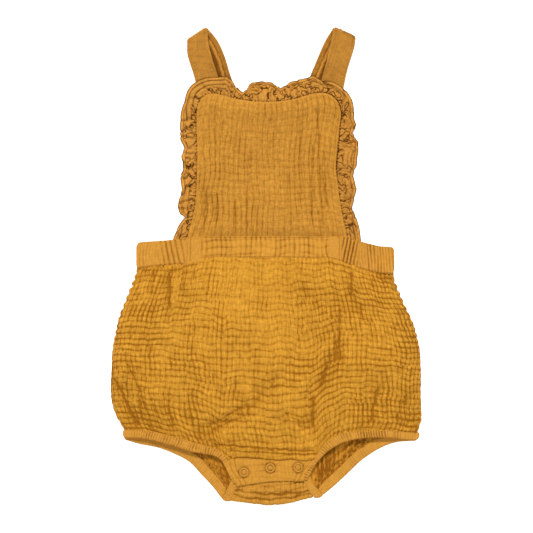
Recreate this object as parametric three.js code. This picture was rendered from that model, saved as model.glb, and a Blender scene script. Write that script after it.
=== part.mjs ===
import * as THREE from "three";

// A baby romper laid flat on its back: millimetres, +Z up, straps towards +Y.

// Cloth and seams
const CLOTH = 1.6;
const CASING = 2.4;
const WAIST_CASING = 3.0;
const STRAP_THICKNESS = 2.2;
const BIB_THICKNESS = 2.0;
const RUFFLE_THICKNESS = 1.0;
const SEAM_GAP = 0.3;
const EDGE_ROUND = 0.7;

// Heights of the layers that lie on each other, each at the underside
const FRONT_RIM = CLOTH + SEAM_GAP;
const WAIST_FRONT_BASE = WAIST_CASING + SEAM_GAP;
const WRAP_TOP_BASE = 3.6;
const PLACKET_BASE = WRAP_TOP_BASE + CLOTH + SEAM_GAP;
const BIB_BASE = { waist: 4.4, corner: 5.2, side: 2.6 };
const BIB_LOW_SIDE = { from: 29, to: 150, fade: 18, middle: 90 };

// Puffs, gathers and ribs
const BIB_CROWN = 2.6;
const BIB_WIDTH = 135;
const EDGE_RISE = 30;
const SHORTS_WIDTH = 290;
const WAIST_GATHERS = 13;
const GATHERED_SHARE = 0.25;
const GATHER_RAISE = 1.5;
const GATHER_FADE = { waist: 0.3, leg: 0.22, front: 0.25 };
const FOLD_FADE = { waist: 0.06, leg: 0.16, side: 12 };
const WAIST_RIBS = 12;
const LEG_RIBS = 26;
const RIB_RAISE = 0.8;
const RUFFLE_WAVES = 34;
const RUFFLE_WAVE_HEIGHT = 2.1;
const RUFFLE_GATHER_HEIGHT = 0.45;
const STRAP_WIDTH = 22;

// Corners where pieces meet
const SIDE_FOLD_REACH = 2.6;
const PLACKET_CORNER = 4;
const CROTCH_TURN = { back: 0.15, wrap: 0.3 };

// Snaps
const SNAP_OUTER_RADIUS = 4.6;
const SNAP_INNER_RADIUS = 2.9;
const SNAP_HEIGHT = 1.1;
const SNAP_SIDES = 24;

// Tables: one row for each section or fold, its columns named
function table(names, rows) {
  return rows.map((row) => Object.fromEntries(names.map((name, i) => [name, row[i]])));
}

// Waistband edges across the front, from the left side fold to the right one
const WAIST = table(["x", "top", "bottom"], [
  [-120.3, 23.2, -1.7],
  [-107.7, 24.0, 0.2],
  [-95.8, 24.8, 1.2],
  [-79.4, 26.3, 2.6],
  [-69.6, 28.4, 5.8],
  [-60.8, 28.7, 7.8],
  [0, 28.7, 8.1],
  [59, 28.7, 7.8],
  [66, 28.7, 6.6],
  [76.8, 27.8, 2.8],
  [86.5, 24.7, -1.2],
  [97.5, 21.8, -4.2],
  [108, 19.3, -6.5],
  [119, 18.6, -7.1],
]);
const BAND_LEFT = -60.8;
const BAND_RIGHT = 59;

// Side seams of the shorts, waist to leg
const SIDE_LEFT = table(["x", "y"], [
  [-124.4, -6],
  [-129.2, -18.5],
  [-134.9, -33.7],
  [-140.4, -48.9],
  [-144.2, -64.1],
  [-146.4, -79.3],
  [-147.4, -98.3],
  [-148.2, -117.3],
  [-146.3, -132.5],
  [-140.2, -147.7],
]);
const SIDE_RIGHT = table(["x", "y"], [
  [122.4, -11],
  [125.4, -18.5],
  [131.4, -33.7],
  [138.6, -48.9],
  [143.8, -64.1],
  [146.8, -79.3],
  [147.8, -98.3],
  [147.8, -117.3],
  [148.0, -132.5],
  [148.2, -147.7],
]);

// Leg bindings: the hem's outer edge, the width and, in front, how high the underside stands
const LEGS = {
  left: {
    hand: -1,
    front: table(["x", "y", "width", "lift"], [
      [-31.3, -206.5, 1.7, 5.5],
      [-35.1, -198.5, 3.0, 5.5],
      [-39.0, -190.0, 4.4, 5.6],
      [-43.4, -183.2, 6.0, 6.0],
      [-50.5, -179.3, 7.4, 6.6],
      [-60.0, -177.5, 8.4, 7.1],
      [-70.0, -175.8, 9.4, 7.3],
      [-80.0, -172.6, 9.2, 7.3],
      [-98.0, -167.3, 8.8, 7.2],
      [-108.5, -164.6, 8.4, 6.9],
      [-118.0, -163.1, 8.2, 6.0],
      [-127.0, -163.0, 8.0, 4.4],
      [-134.5, -163.2, 7.8, 2.7],
    ]),
    back: table(["x", "y", "width"], [
      [-134.5, -165.2, 9.4],
      [-119.7, -169.4, 9.5],
      [-103.5, -172.6, 9.6],
      [-88.3, -178.2, 9.8],
      [-73.0, -186.4, 10.0],
      [-61.8, -198.1, 10.0],
      [-50.3, -210.5, 9.6],
      [-42.3, -221.0, 9.0],
    ]),
    wrap: table(["x", "y", "width"], [
      [-42.3, -221.0, 9.0],
      [-37.4, -212.0, 8.0],
      [-33.5, -203.0, 8.0],
      [-31.5, -194.0, 8.0],
    ]),
  },
  right: {
    hand: 1,
    front: table(["x", "y", "width", "lift"], [
      [38.9, -203.5, 1.7, 5.5],
      [43.3, -195.0, 2.2, 5.5],
      [47.8, -187.2, 3.6, 5.6],
      [52.4, -181.6, 5.2, 6.0],
      [58.5, -175.6, 7.4, 6.6],
      [66.2, -170.4, 8.8, 7.1],
      [74.0, -166.6, 8.9, 7.3],
      [83.5, -164.1, 8.2, 7.3],
      [95.3, -162.7, 7.4, 7.2],
      [107.2, -162.3, 7.4, 6.9],
      [118.9, -162.6, 7.4, 6.0],
      [131.0, -164.3, 7.2, 4.4],
      [143.5, -165.6, 7.2, 2.7],
    ]),
    back: table(["x", "y", "width"], [
      [143.5, -166.2, 8.6],
      [124.4, -167.6, 9.2],
      [110.2, -172.6, 9.5],
      [92.1, -184.0, 9.8],
      [77.0, -198.1, 9.8],
      [64.6, -209.5, 9.6],
      [54.5, -217.8, 9.0],
    ]),
    wrap: table(["x", "y", "width"], [
      [54.5, -217.8, 9.0],
      [48.5, -210.5, 8.0],
      [43.8, -203.0, 8.0],
      [41.0, -195.0, 8.0],
    ]),
  },
};

// Where the end of the back panel folds up at the crotch
const CROTCH_FOLD = table(["x", "y"], [
  [-34, -223.4],
  [-22, -224.8],
  [-11.8, -226.4],
  [0.9, -227.7],
  [14.5, -226.9],
  [26, -224.9],
  [37.3, -222.3],
  [46, -220.0],
]);

// Width of the crotch wrap along its own length: on the back, at the fold and up the front
const WRAP_SIDES = table(["step", "left", "right"], [
  [0, -33.0, 42.0],
  [1, -32.7, 43.6],
  [2, -32.6, 43.4],
  [2.5, -28.4, 38.2],
  [3, -24.8, 34.8],
  [3.5, -23.1, 32.4],
  [4, -22.6, 31.6],
]);
const WRAP_BACK_Y = -214.5;
const WRAP_END_Y = -189;

// Placket: its four corners and its lower edge
const PLACKET_TOP = table(["x", "y"], [[-34.0, -183.4], [5, -182.6], [45.0, -182.3]]);
const PLACKET_BOTTOM = table(["x", "y"], [
  [-28.2, -209.2],
  [-17.3, -207.6],
  [0.9, -204.9],
  [19.1, -204.0],
  [36.4, -204.3],
]);
const SNAPS = table(["name", "x", "y"], [
  ["snap_left", -20.9, -195.3],
  ["snap_middle", 4.1, -191.2],
  ["snap_right", 30.5, -190.8],
]);

// Crown of the front panel above its own edges, from waist to leg
const CROWN = table(["share", "height"], [
  [0, 0],
  [0.06, 3.2],
  [0.15, 6.0],
  [0.35, 9.0],
  [0.6, 9.0],
  [0.8, 6.0],
  [0.93, 3.0],
  [1, 0],
]);

// Large folds of the front panel: a trough has a negative depth
const FOLDS = table(["x", "y", "toX", "toY", "depth", "width"], [
  [-63.7, -160, -29.5, -144, -2.6, 7],
  [-29.5, -144, 10.5, -108, -2.4, 9],
  [67.5, -39, 70.3, -77, -2.6, 9],
  [70.3, -77, 44.7, -122, -2.8, 8],
  [44.7, -122, 41.8, -151, -2.2, 7],
  [101.7, -116, 101.7, -151, -2.2, 8],
  [27.6, -74, 27.6, -102, -1.6, 7],
  [30.4, -25, 42, -30, -2.6, 14],
  [-138, -108, -122.6, -148, -2.0, 8],
  [-89.3, -128, -77.9, -148, -2.2, 8],
  [-97.9, -25, -97.9, -38, -2.2, 9],
  [-121, -58, -118, -70, -1.8, 9],
  [84.6, -26, 84.6, -38, -2.0, 9],
  [-15.2, -28, -20, -40, 1.6, 12],
  [1.9, -92, 4, -100, 1.8, 12],
  [-52.3, -122, -48, -130, 1.6, 10],
  [13.3, -124, 16, -132, 1.6, 9],
  [88, -10, 98.8, -28, 1.4, 7],
  [-20, -168, 30, -166, -1.6, 4],
]);

// Bib: its edge from the left end of the waist seam, over the top, to the right end
const BIB_LEFT = table(["x", "y"], [
  [-75.4, 29.2],
  [-71.2, 42],
  [-68, 56],
  [-66.4, 77],
  [-65.8, 98],
  [-65.9, 121],
  [-66.4, 137],
  [-65.2, 151],
  [-61.5, 160.2],
]);
const BIB_TOP = table(["x", "y"], [
  [-61.5, 160.2],
  [-55, 163.8],
  [-48.8, 164.2],
  [-40.9, 162.9],
  [-24.7, 158.7],
  [0, 156.5],
  [24.7, 158.7],
  [38.9, 162.8],
  [52.2, 165.2],
  [61.5, 163],
  [68, 156.5],
]);
const BIB_RIGHT = table(["x", "y"], [
  [77.6, 29.2],
  [73, 49],
  [70.4, 64],
  [68.8, 78],
  [66.8, 93],
  [67.6, 106],
  [70.2, 132],
  [71.4, 146],
  [68, 156.5],
]);

// Ruffle: how far it reaches from the bib's edge and the height of its outer edge,
// by the length run along that edge
const RUFFLE = table(["run", "reach", "height"], [
  [0, 14.5, 4.6],
  [11, 9.5, 3.8],
  [16, 6.5, 3.6],
  [20, 13.5, 3.6],
  [28, 16.6, 3.6],
  [44, 13.4, 3.6],
  [56, 15.6, 3.6],
  [65, 13, 3.6],
  [77, 15, 3.6],
  [85, 11.8, 3.6],
  [94, 15.8, 3.8],
  [117, 15, 4.6],
  [126, 13.4, 6.2],
  [134, 14.8, 7.8],
  [148, 16, 7.8],
  [156, 17.8, 7.6],
  [163, 12, 6.2],
  [174, 7, 5.4],
  [178, 13.4, 5.2],
  [182, 18, 4.6],
  [192, 20, 4.0],
  [204, 18.6, 4.0],
  [211, 12.2, 4.2],
  [224, 17, 5.0],
  [236, 16, 6.4],
  [244, 16.4, 7.4],
  [251, 11, 7.8],
  [263, 12.2, 7.8],
  [272, 13, 7.6],
  [284, 12.2, 5.6],
  [290, 15.6, 4.4],
  [298, 12.4, 3.8],
  [306, 19.2, 3.6],
  [314, 20, 3.6],
  [330, 19.5, 3.6],
  [342, 15.2, 3.6],
  [354, 17, 3.6],
  [363, 14, 3.6],
  [372, 10, 3.6],
  [382, 12, 3.8],
  [398, 14, 4.6],
]);
const RUFFLE_ROWS = [0, 0.22, 0.5, 0.78, 1];
const RUFFLE_END_SPLAY = 0.5;
const RUFFLE_END_RUN = 16;

// Straps: the middle line, its height and the direction of the width, in degrees
const STRAPS = {
  strap_left: {
    front: table(["x", "y", "z", "turn"], [
      [-52.8, 157, 3.7, 14],
      [-56.3, 178, 3.7, 15],
      [-60.5, 195, 3.7, 18],
      [-63.0, 208, 3.7, 26],
      [-63.8, 218.4, 3.7, 32],
    ]),
    back: table(["x", "y", "z", "turn"], [
      [-63.8, 218.4, 1.1, 32],
      [-57.6, 208.5, 1.1, 30],
      [-51.0, 195.0, 1.1, 24],
      [-45.4, 180.0, 1.1, 20],
      [-37.5, 160.0, 1.1, 21],
      [-23.8, 126.0, 1.1, 22],
      [-3.6, 76.0, 1.1, 22],
      [12.2, 38.0, 1.1, 22],
      [18.6, 22.4, 1.1, -1],
    ]),
  },
  strap_right: {
    front: table(["x", "y", "z", "turn"], [
      [59.2, 155, 3.7, -13],
      [64.7, 180, 3.7, -14],
      [69.7, 200, 3.7, -16],
      [72.6, 213, 3.7, -20],
      [73.5, 220.8, 3.7, -24],
    ]),
    back: table(["x", "y", "z", "turn"], [
      [73.5, 220.8, 1.1, -24],
      [67.7, 208.6, 1.1, -24],
      [59.0, 190.0, 1.1, -24],
      [45.0, 160.0, 1.1, -24],
      [30.0, 127.0, 1.1, -24],
      [16.4, 96.0, 3.65, -24],
      [1.4, 62.0, 3.65, -24],
      [-8.6, 40.0, 3.65, -23],
      [-11.6, 33.0, 1.75, -20],
      [-16.0, 22.8, 1.2, -1],
    ]),
  },
};
const STRAP_FOLD_RADIUS = 1.3;

const OCHRE = 0xcb8c32;
const OCHRE_DARK = 0xb4792f;
const OCHRE_LIGHT = 0xd09834;

const UP = new THREE.Vector3(0, 0, 1);
const DOWN = new THREE.Vector3(0, 0, -1);

function mix(from, to, share) {
  return from + (to - from) * share;
}

function ease(share) {
  const s = Math.min(Math.max(share, 0), 1);
  return s * s * (3 - 2 * s);
}

// A column of a table read between its rows
function lookup(rows, key, value, column) {
  const last = rows.length - 2;
  let i = 0;
  while (i < last && rows[i + 1][key] < value) {
    i += 1;
  }
  const share = (value - rows[i][key]) / (rows[i + 1][key] - rows[i][key]);
  return mix(rows[i][column], rows[i + 1][column], Math.min(Math.max(share, 0), 1));
}

// A smooth line through a table's rows, read by the share of its length
function track(rows) {
  const knots = rows.map((row) => new THREE.Vector3(row.x, row.y, row.z ?? 0));
  const curve = new THREE.CatmullRomCurve3(knots, false, "centripetal");
  return (share) => {
    const t = curve.getUtoTmapping(share);
    const place = t * (rows.length - 1);
    const i = Math.min(Math.floor(place), rows.length - 2);
    return {
      spot: curve.getPoint(t),
      along: curve.getTangent(t).setZ(0).normalize(),
      read: (column) => mix(rows[i][column], rows[i + 1][column], place - i),
    };
  };
}

function shares(count) {
  return Array.from({ length: count + 1 }, (_, i) => i / count);
}

// A closed mesh from points and triangles, its faces turned outwards
function solid(name, points, faces, colour) {
  let volume = 0;
  for (let i = 0; i < faces.length; i += 3) {
    const [a, b, c] = [points[faces[i]], points[faces[i + 1]], points[faces[i + 2]]];
    volume += a.dot(b.clone().cross(c));
  }
  const index = volume > 0 ? faces : faces.slice().reverse();
  const geometry = new THREE.BufferGeometry().setFromPoints(points);
  geometry.setIndex(index);
  geometry.computeVertexNormals();
  return mesh(name, geometry, colour);
}

function mesh(name, geometry, colour) {
  const material = new THREE.MeshStandardMaterial({ color: colour, roughness: 0.9, metalness: 0 });
  const piece = new THREE.Mesh(geometry, material);
  piece.name = name;
  return piece;
}

// A wall between an outer and an inner grid of points, closed along its four edges
function wall(name, outer, inner, colour) {
  const rows = outer.length;
  const columns = outer[0].length;
  const faces = [];
  const at = (layer, i, j) => (layer * rows + i) * columns + j;
  const quad = (a, b, c, d) => faces.push(a, b, c, a, c, d);
  for (let i = 0; i < rows - 1; i += 1) {
    for (let j = 0; j < columns - 1; j += 1) {
      quad(at(0, i, j), at(0, i + 1, j), at(0, i + 1, j + 1), at(0, i, j + 1));
      quad(at(1, i, j), at(1, i, j + 1), at(1, i + 1, j + 1), at(1, i + 1, j));
    }
    quad(at(0, i, 0), at(1, i, 0), at(1, i + 1, 0), at(0, i + 1, 0));
    const end = columns - 1;
    quad(at(0, i, end), at(0, i + 1, end), at(1, i + 1, end), at(1, i, end));
  }
  for (let j = 0; j < columns - 1; j += 1) {
    const end = rows - 1;
    quad(at(0, 0, j), at(0, 0, j + 1), at(1, 0, j + 1), at(1, 0, j));
    quad(at(0, end, j), at(1, end, j), at(1, end, j + 1), at(0, end, j + 1));
  }
  return solid(name, [...outer.flat(), ...inner.flat()], faces, colour);
}

// A flat strip along stations: each has a middle point, the direction of its width, the
// direction that its outer face looks, its width, thickness and how far a rib rises there
function ribbon(name, stations, colour) {
  const points = [];
  const faces = [];
  const sides = 6;
  for (const { spot, side, face, width, thick, rib = 0 } of stations) {
    const half = width / 2;
    const flat = Math.max(half - EDGE_ROUND, half * 0.5);
    const section = [
      [flat, thick / 2 + rib],
      [half, 0],
      [flat, -thick / 2],
      [-flat, -thick / 2],
      [-half, 0],
      [-flat, thick / 2 + rib],
    ];
    for (const [across, out] of section) {
      points.push(spot.clone().addScaledVector(side, across).addScaledVector(face, out));
    }
  }
  const at = (i, k) => i * sides + (k % sides);
  for (let i = 0; i < stations.length - 1; i += 1) {
    for (let k = 0; k < sides; k += 1) {
      faces.push(at(i, k), at(i + 1, k), at(i + 1, k + 1));
      faces.push(at(i, k), at(i + 1, k + 1), at(i, k + 1));
    }
  }
  const end = stations.length - 1;
  for (let k = 1; k < sides - 1; k += 1) {
    faces.push(at(0, 0), at(0, k), at(0, k + 1));
    faces.push(at(end, 0), at(end, k + 1), at(end, k));
  }
  return solid(name, points, faces, colour);
}

// Stations that turn a ribbon over, from one layer to the layer below or above it
function fold(from, to, travel, radius, steps) {
  const start = from.spot.clone().addScaledVector(from.face, -radius);
  const finish = to.spot.clone().addScaledVector(to.face, -radius);
  const stations = [];
  for (let i = 1; i < steps; i += 1) {
    const share = i / steps;
    const angle = Math.PI * share;
    const face = from.face.clone().multiplyScalar(Math.cos(angle));
    face.addScaledVector(travel, Math.sin(angle));
    stations.push({
      spot: start.clone().lerp(finish, share).addScaledVector(face, radius),
      side: from.side.clone().lerp(to.side, share).normalize(),
      face,
      width: mix(from.width, to.width, share),
      thick: from.thick,
    });
  }
  return stations;
}

// A patch between four edge lines, each a function of its share of length
function patch({ top, bottom, left, right }, across, down) {
  const corners = [top(0), top(1), bottom(0), bottom(1)];
  const leftward = corners[0].clone().multiplyScalar(1 - down).addScaledVector(corners[2], down);
  const rightward = corners[1].clone().multiplyScalar(1 - down).addScaledVector(corners[3], down);
  const spot = top(across).multiplyScalar(1 - down).addScaledVector(bottom(across), down);
  spot.addScaledVector(left(down).sub(leftward), 1 - across);
  spot.addScaledVector(right(down).sub(rightward), across);
  return spot;
}

function edge(rows) {
  const read = track(rows);
  return (share) => read(share).spot;
}

// An edge made of several curved stretches that meet in corners, read by the share of its length
function joinedEdge(...stretches) {
  const path = new THREE.CurvePath();
  for (const rows of stretches) {
    const knots = rows.map(({ x, y, z }) => new THREE.Vector3(x, y, z));
    path.add(knots.length > 2 ? new THREE.CatmullRomCurve3(knots, false, "centripetal") : lineBetween(knots));
  }
  return (share) => path.getPoint(share);
}

function lineBetween([from, to]) {
  return new THREE.LineCurve3(from, to);
}

// Height that is lost within EDGE_RISE of a side
function edgeRise(distance) {
  const share = Math.min(distance / EDGE_RISE, 1);
  return 1 - (1 - share) ** 2;
}

// Waistband: one ribbed elastic casing round both sides and the back, one flat band in front
function waistStation(x, row, face, rib) {
  const base = face === UP ? WAIST_FRONT_BASE : 0;
  return {
    spot: new THREE.Vector3(x, (row.top + row.bottom) / 2, base + WAIST_CASING / 2),
    side: new THREE.Vector3(0, 1, 0),
    face,
    width: row.top - row.bottom,
    thick: WAIST_CASING,
    rib,
  };
}

function waistRow(x) {
  return { top: lookup(WAIST, "x", x, "top"), bottom: lookup(WAIST, "x", x, "bottom") };
}

function elasticFront(from, to) {
  return shares(WAIST_RIBS * 2).map((share, i) => {
    const x = mix(from, to, share);
    return waistStation(x, waistRow(x), UP, i % 2 === 1 ? RIB_RAISE : 0);
  });
}

function waistbandElastic() {
  const left = WAIST[0];
  const right = WAIST[WAIST.length - 1];
  const radius = (WAIST_FRONT_BASE + WAIST_CASING) / 2 - WAIST_CASING / 2;
  const frontLeft = elasticFront(BAND_LEFT - SEAM_GAP, left.x);
  const frontRight = elasticFront(right.x, BAND_RIGHT + SEAM_GAP);
  const back = shares(10).map((share) => {
    const row = { top: mix(left.top, right.top, share), bottom: mix(left.bottom, right.bottom, share) };
    return waistStation(mix(left.x, right.x, share), row, DOWN, 0);
  });
  const leftTurn = fold(frontLeft.at(-1), back[0], new THREE.Vector3(-1, 0, 0), radius, 6);
  const rightTurn = fold(back.at(-1), frontRight[0], new THREE.Vector3(1, 0, 0), radius, 6);
  const stations = [...frontLeft, ...leftTurn, ...back, ...rightTurn, ...frontRight];
  return ribbon("waistband_elastic", stations, OCHRE);
}

function waistbandFront() {
  const stations = shares(8).map((share) => {
    const x = mix(BAND_LEFT, BAND_RIGHT, share);
    const row = waistRow(x);
    const height = WAIST_FRONT_BASE + CASING / 2 + 0.5 * Math.sin(Math.PI * share);
    return {
      spot: new THREE.Vector3(x, (row.top + row.bottom) / 2, height),
      side: new THREE.Vector3(0, 1, 0),
      face: UP,
      width: row.top - row.bottom,
      thick: CASING,
    };
  });
  return ribbon("waistband_front", stations, OCHRE_LIGHT);
}

// Leg bindings: along the front hem, round the side, along the back hem and up at the crotch
function hemStation(read, quarterTurn, face, height, flatten = 0) {
  const inward = new THREE.Vector3(-quarterTurn * read.along.y, quarterTurn * read.along.x, 0);
  const level = new THREE.Vector3(Math.sign(inward.x), 0, 0);
  const side = inward.lerp(level, flatten).normalize();
  const width = read.read("width");
  const spot = read.spot.clone().addScaledVector(side, width / 2).setZ(height);
  return { spot, side, face, width, thick: CASING };
}

function legStations({ hand, front, back, wrap }) {
  const [readFront, readBack, readWrap] = [track(front), track(back), track(wrap)];
  const frontStations = shares(LEG_RIBS * 2).map((share, i) => {
    const read = readFront(share);
    const station = hemStation(read, hand, UP, read.read("lift") + CASING / 2);
    return { ...station, rib: i % 2 === 1 ? RIB_RAISE * ease(station.width / 4 - 0.5) : 0 };
  });
  const backStations = shares(18).map((share) =>
    hemStation(readBack(share), -hand, DOWN, CASING / 2, ease(1 - (1 - share) / CROTCH_TURN.back)),
  );
  const wrapMiddle = WRAP_TOP_BASE + CLOTH - CASING / 2;
  const wrapStations = shares(5).map((share) =>
    hemStation(readWrap(share), hand, UP, wrapMiddle, ease(1 - share / CROTCH_TURN.wrap)),
  );
  return { frontStations, backStations, wrapStations };
}

function legBinding(name, leg) {
  const { frontStations, backStations, wrapStations } = legStations(leg);
  const outward = new THREE.Vector3(leg.hand, 0, 0);
  const sideRadius = (frontStations.at(-1).spot.z - backStations[0].spot.z) / 2;
  const crotchRadius = (wrapStations[0].spot.z - backStations.at(-1).spot.z) / 2;
  const stations = [
    ...frontStations,
    ...fold(frontStations.at(-1), backStations[0], outward, sideRadius, 6),
    ...backStations,
    ...fold(backStations.at(-1), wrapStations[0], new THREE.Vector3(0, -1, 0), crotchRadius, 6),
    ...wrapStations,
  ];
  return ribbon(name, stations, OCHRE_DARK);
}

// The points of a panel's edge that runs along a binding, a seam gap away from it
function alongBinding(stations, height) {
  return stations.map(({ spot, side, width }) => {
    const point = spot.clone().addScaledVector(side, width / 2 + SEAM_GAP);
    return { x: point.x, y: point.y, z: height ?? spot.z - CASING / 2 + SEAM_GAP };
  });
}

// Shorts back: the flat panel that the garment lies on
function shortsBack() {
  const left = alongBinding(legStations(LEGS.left).backStations.slice(0, -1), 0);
  const right = alongBinding(legStations(LEGS.right).backStations.slice(0, -1), 0).reverse();
  const waistLeft = { x: WAIST[0].x - SIDE_FOLD_REACH, y: WAIST[0].bottom - SEAM_GAP };
  const waistRight = { x: WAIST.at(-1).x + SIDE_FOLD_REACH, y: WAIST.at(-1).bottom - SEAM_GAP };
  const crotch = [
    { x: WRAP_SIDES[0].left, y: WRAP_BACK_Y + SEAM_GAP },
    { x: WRAP_SIDES[0].right, y: WRAP_BACK_Y + SEAM_GAP },
  ];
  const belowCrotch = ({ y }) => y > WRAP_BACK_Y + 2 * SEAM_GAP;
  const outline = [
    waistLeft,
    ...SIDE_LEFT,
    ...left.filter(belowCrotch),
    ...crotch,
    ...right.filter(belowCrotch),
    ...SIDE_RIGHT.slice().reverse(),
    waistRight,
  ];
  const shape = new THREE.Shape(outline.map(({ x, y }) => new THREE.Vector2(x, y)));
  const panel = new THREE.ExtrudeGeometry(shape, { depth: CLOTH, bevelEnabled: false });
  return mesh("shorts_back", panel, OCHRE);
}

// Crotch wrap: the end of the back panel, turned up over the fold and under the placket
function crotchWrap() {
  const radius = WRAP_TOP_BASE / 2;
  const reach = radius + CLOTH / 2;
  const path = [
    ...shares(2).map((share) => ({ step: share, turn: 0, rise: 0, back: share })),
    ...shares(6).slice(1, -1).map((share) => ({ step: 1 + share, turn: share, rise: 0, back: 1 })),
    ...shares(7).map((share) => ({ step: 2 + 2 * share, turn: 1, rise: share, back: 1 })),
  ];
  const outer = [];
  const inner = [];
  for (const across of shares(12)) {
    const points = path.map(({ step, turn, rise, back }) => {
      const left = lookup(WRAP_SIDES, "step", step, "left");
      const right = lookup(WRAP_SIDES, "step", step, "right");
      const x = mix(left, right, across);
      const foldY = lookup(CROTCH_FOLD, "x", x, "y") + reach;
      const angle = Math.PI * turn;
      const straight = turn === 0 ? mix(WRAP_BACK_Y, foldY, back) : mix(foldY, WRAP_END_Y, rise);
      const face = new THREE.Vector3(0, -Math.sin(angle), -Math.cos(angle));
      const spot = new THREE.Vector3(x, straight, reach).addScaledVector(face, radius);
      return { spot, face };
    });
    outer.push(points.map(({ spot, face }) => spot.clone().addScaledVector(face, CLOTH / 2)));
    inner.push(points.map(({ spot, face }) => spot.clone().addScaledVector(face, -CLOTH / 2)));
  }
  return wall("crotch_wrap", outer, inner, OCHRE_DARK);
}

// Shorts front: a puffed panel between the waist, the side seams, the bindings and the placket
function foldHeight(x, y) {
  let trough = 0;
  let ridge = 0;
  for (const row of FOLDS) {
    const run = new THREE.Vector2(row.toX - row.x, row.toY - row.y);
    const from = new THREE.Vector2(x - row.x, y - row.y);
    const share = Math.min(Math.max(from.dot(run) / run.lengthSq(), 0), 1);
    const distance = from.addScaledVector(run, -share).length();
    const height = row.depth * Math.exp(-((distance / row.width) ** 2));
    trough = Math.min(trough, height);
    ridge = Math.max(ridge, height);
  }
  return trough + ridge;
}

function frontEdges() {
  const left = legStations(LEGS.left).frontStations;
  const right = legStations(LEGS.right).frontStations;
  const abovePlacket = ({ y }) => y > PLACKET_TOP[0].y + PLACKET_CORNER;
  const hemLeft = alongBinding(left).filter(abovePlacket).reverse();
  const hemRight = alongBinding(right).filter(abovePlacket);
  const placket = PLACKET_TOP.map(({ x, y }) => ({ x, y: y + 2 * SEAM_GAP, z: PLACKET_BASE }));
  const corner = { left: hemLeft[0], right: hemRight.at(-1) };
  const waist = WAIST.map(({ x, bottom }) => ({ x, y: bottom - 2 * SEAM_GAP, z: WAIST_FRONT_BASE + SEAM_GAP }));
  waist[0].x -= SIDE_FOLD_REACH;
  waist.at(-1).x += SIDE_FOLD_REACH;
  waist[0].z = FRONT_RIM + SEAM_GAP;
  waist.at(-1).z = FRONT_RIM + SEAM_GAP;
  const rim = (row) => ({ ...row, z: FRONT_RIM });
  return {
    top: joinedEdge(...waist.slice(1).map((row, i) => [waist[i], row])),
    left: edge([waist[0], ...SIDE_LEFT.map(rim), corner.left]),
    right: edge([waist.at(-1), ...SIDE_RIGHT.map(rim), corner.right]),
    bottom: joinedEdge([...hemLeft, placket[0]], placket, [placket.at(-1), ...hemRight]),
  };
}

function frontColumns() {
  const side = GATHERED_SHARE;
  const gathered = shares(WAIST_GATHERS * 2).map((share) => share * side);
  const middle = shares(24).slice(1, -1).map((share) => mix(side, 1 - side, share));
  return [...gathered, ...middle, ...gathered.map((share) => 1 - share).reverse()];
}

function shortsFront() {
  const edges = frontEdges();
  const columns = frontColumns();
  const rows = [0, 0.03, 0.08, 0.15, 0.23, 0.32, 0.42, 0.52, 0.61, 0.7, 0.78, 0.85, 0.91, 0.96, 1];
  const outer = [];
  const inner = [];
  columns.forEach((across, i) => {
    const fromSide = Math.min(across, 1 - across);
    const raised = i % 2 === 1 ? 0.75 + 0.25 * Math.sin(i * 1.7) : 0;
    const waistShare = fromSide < GATHERED_SHARE ? 1 : GATHER_FADE.front;
    const innerColumn = rows.map((down) => {
      const spot = patch(edges, across, down);
      const ends = ease(down / FOLD_FADE.waist) * ease((1 - down) / FOLD_FADE.leg);
      const free = ends * ease((fromSide * SHORTS_WIDTH) / FOLD_FADE.side);
      const crown = lookup(CROWN, "share", down, "height") * edgeRise(fromSide * SHORTS_WIDTH);
      spot.z += crown + foldHeight(spot.x, spot.y) * free;
      return spot;
    });
    const outerColumn = rows.map((down, j) => {
      const gather = waistShare * ease(1 - down / GATHER_FADE.waist) + ease(1 - (1 - down) / GATHER_FADE.leg);
      const lift = CLOTH + GATHER_RAISE * raised * gather;
      return innerColumn[j].clone().add(new THREE.Vector3(0, 0, lift));
    });
    outer.push(outerColumn);
    inner.push(innerColumn);
  });
  return wall("shorts_front", outer, inner, OCHRE);
}

// Placket and its snaps
function placketFront() {
  const topRow = edge(PLACKET_TOP);
  const bottomRow = edge(PLACKET_BOTTOM);
  const outer = [];
  const inner = [];
  for (const across of shares(12)) {
    const column = shares(3).map((down) => {
      const spot = topRow(across).lerp(bottomRow(across), down);
      return spot.setZ(PLACKET_BASE);
    });
    inner.push(column);
    outer.push(column.map((spot) => spot.clone().setZ(PLACKET_BASE + CLOTH)));
  }
  return wall("placket_front", outer, inner, OCHRE_LIGHT);
}

function snap({ name, x, y }) {
  const profile = [
    new THREE.Vector2(SNAP_INNER_RADIUS, 0),
    new THREE.Vector2(SNAP_OUTER_RADIUS, 0),
    new THREE.Vector2(SNAP_OUTER_RADIUS, SNAP_HEIGHT * 0.4),
    new THREE.Vector2(mix(SNAP_INNER_RADIUS, SNAP_OUTER_RADIUS, 0.6), SNAP_HEIGHT),
    new THREE.Vector2(mix(SNAP_INNER_RADIUS, SNAP_OUTER_RADIUS, 0.25), SNAP_HEIGHT),
    new THREE.Vector2(SNAP_INNER_RADIUS, SNAP_HEIGHT * 0.4),
    new THREE.Vector2(SNAP_INNER_RADIUS, 0),
  ];
  const cap = mesh(name, new THREE.LatheGeometry(profile, SNAP_SIDES), OCHRE_LIGHT);
  cap.material.roughness = 0.45;
  cap.rotation.x = Math.PI / 2;
  cap.position.set(x, y, PLACKET_BASE + CLOTH + SEAM_GAP);
  return cap;
}

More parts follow.
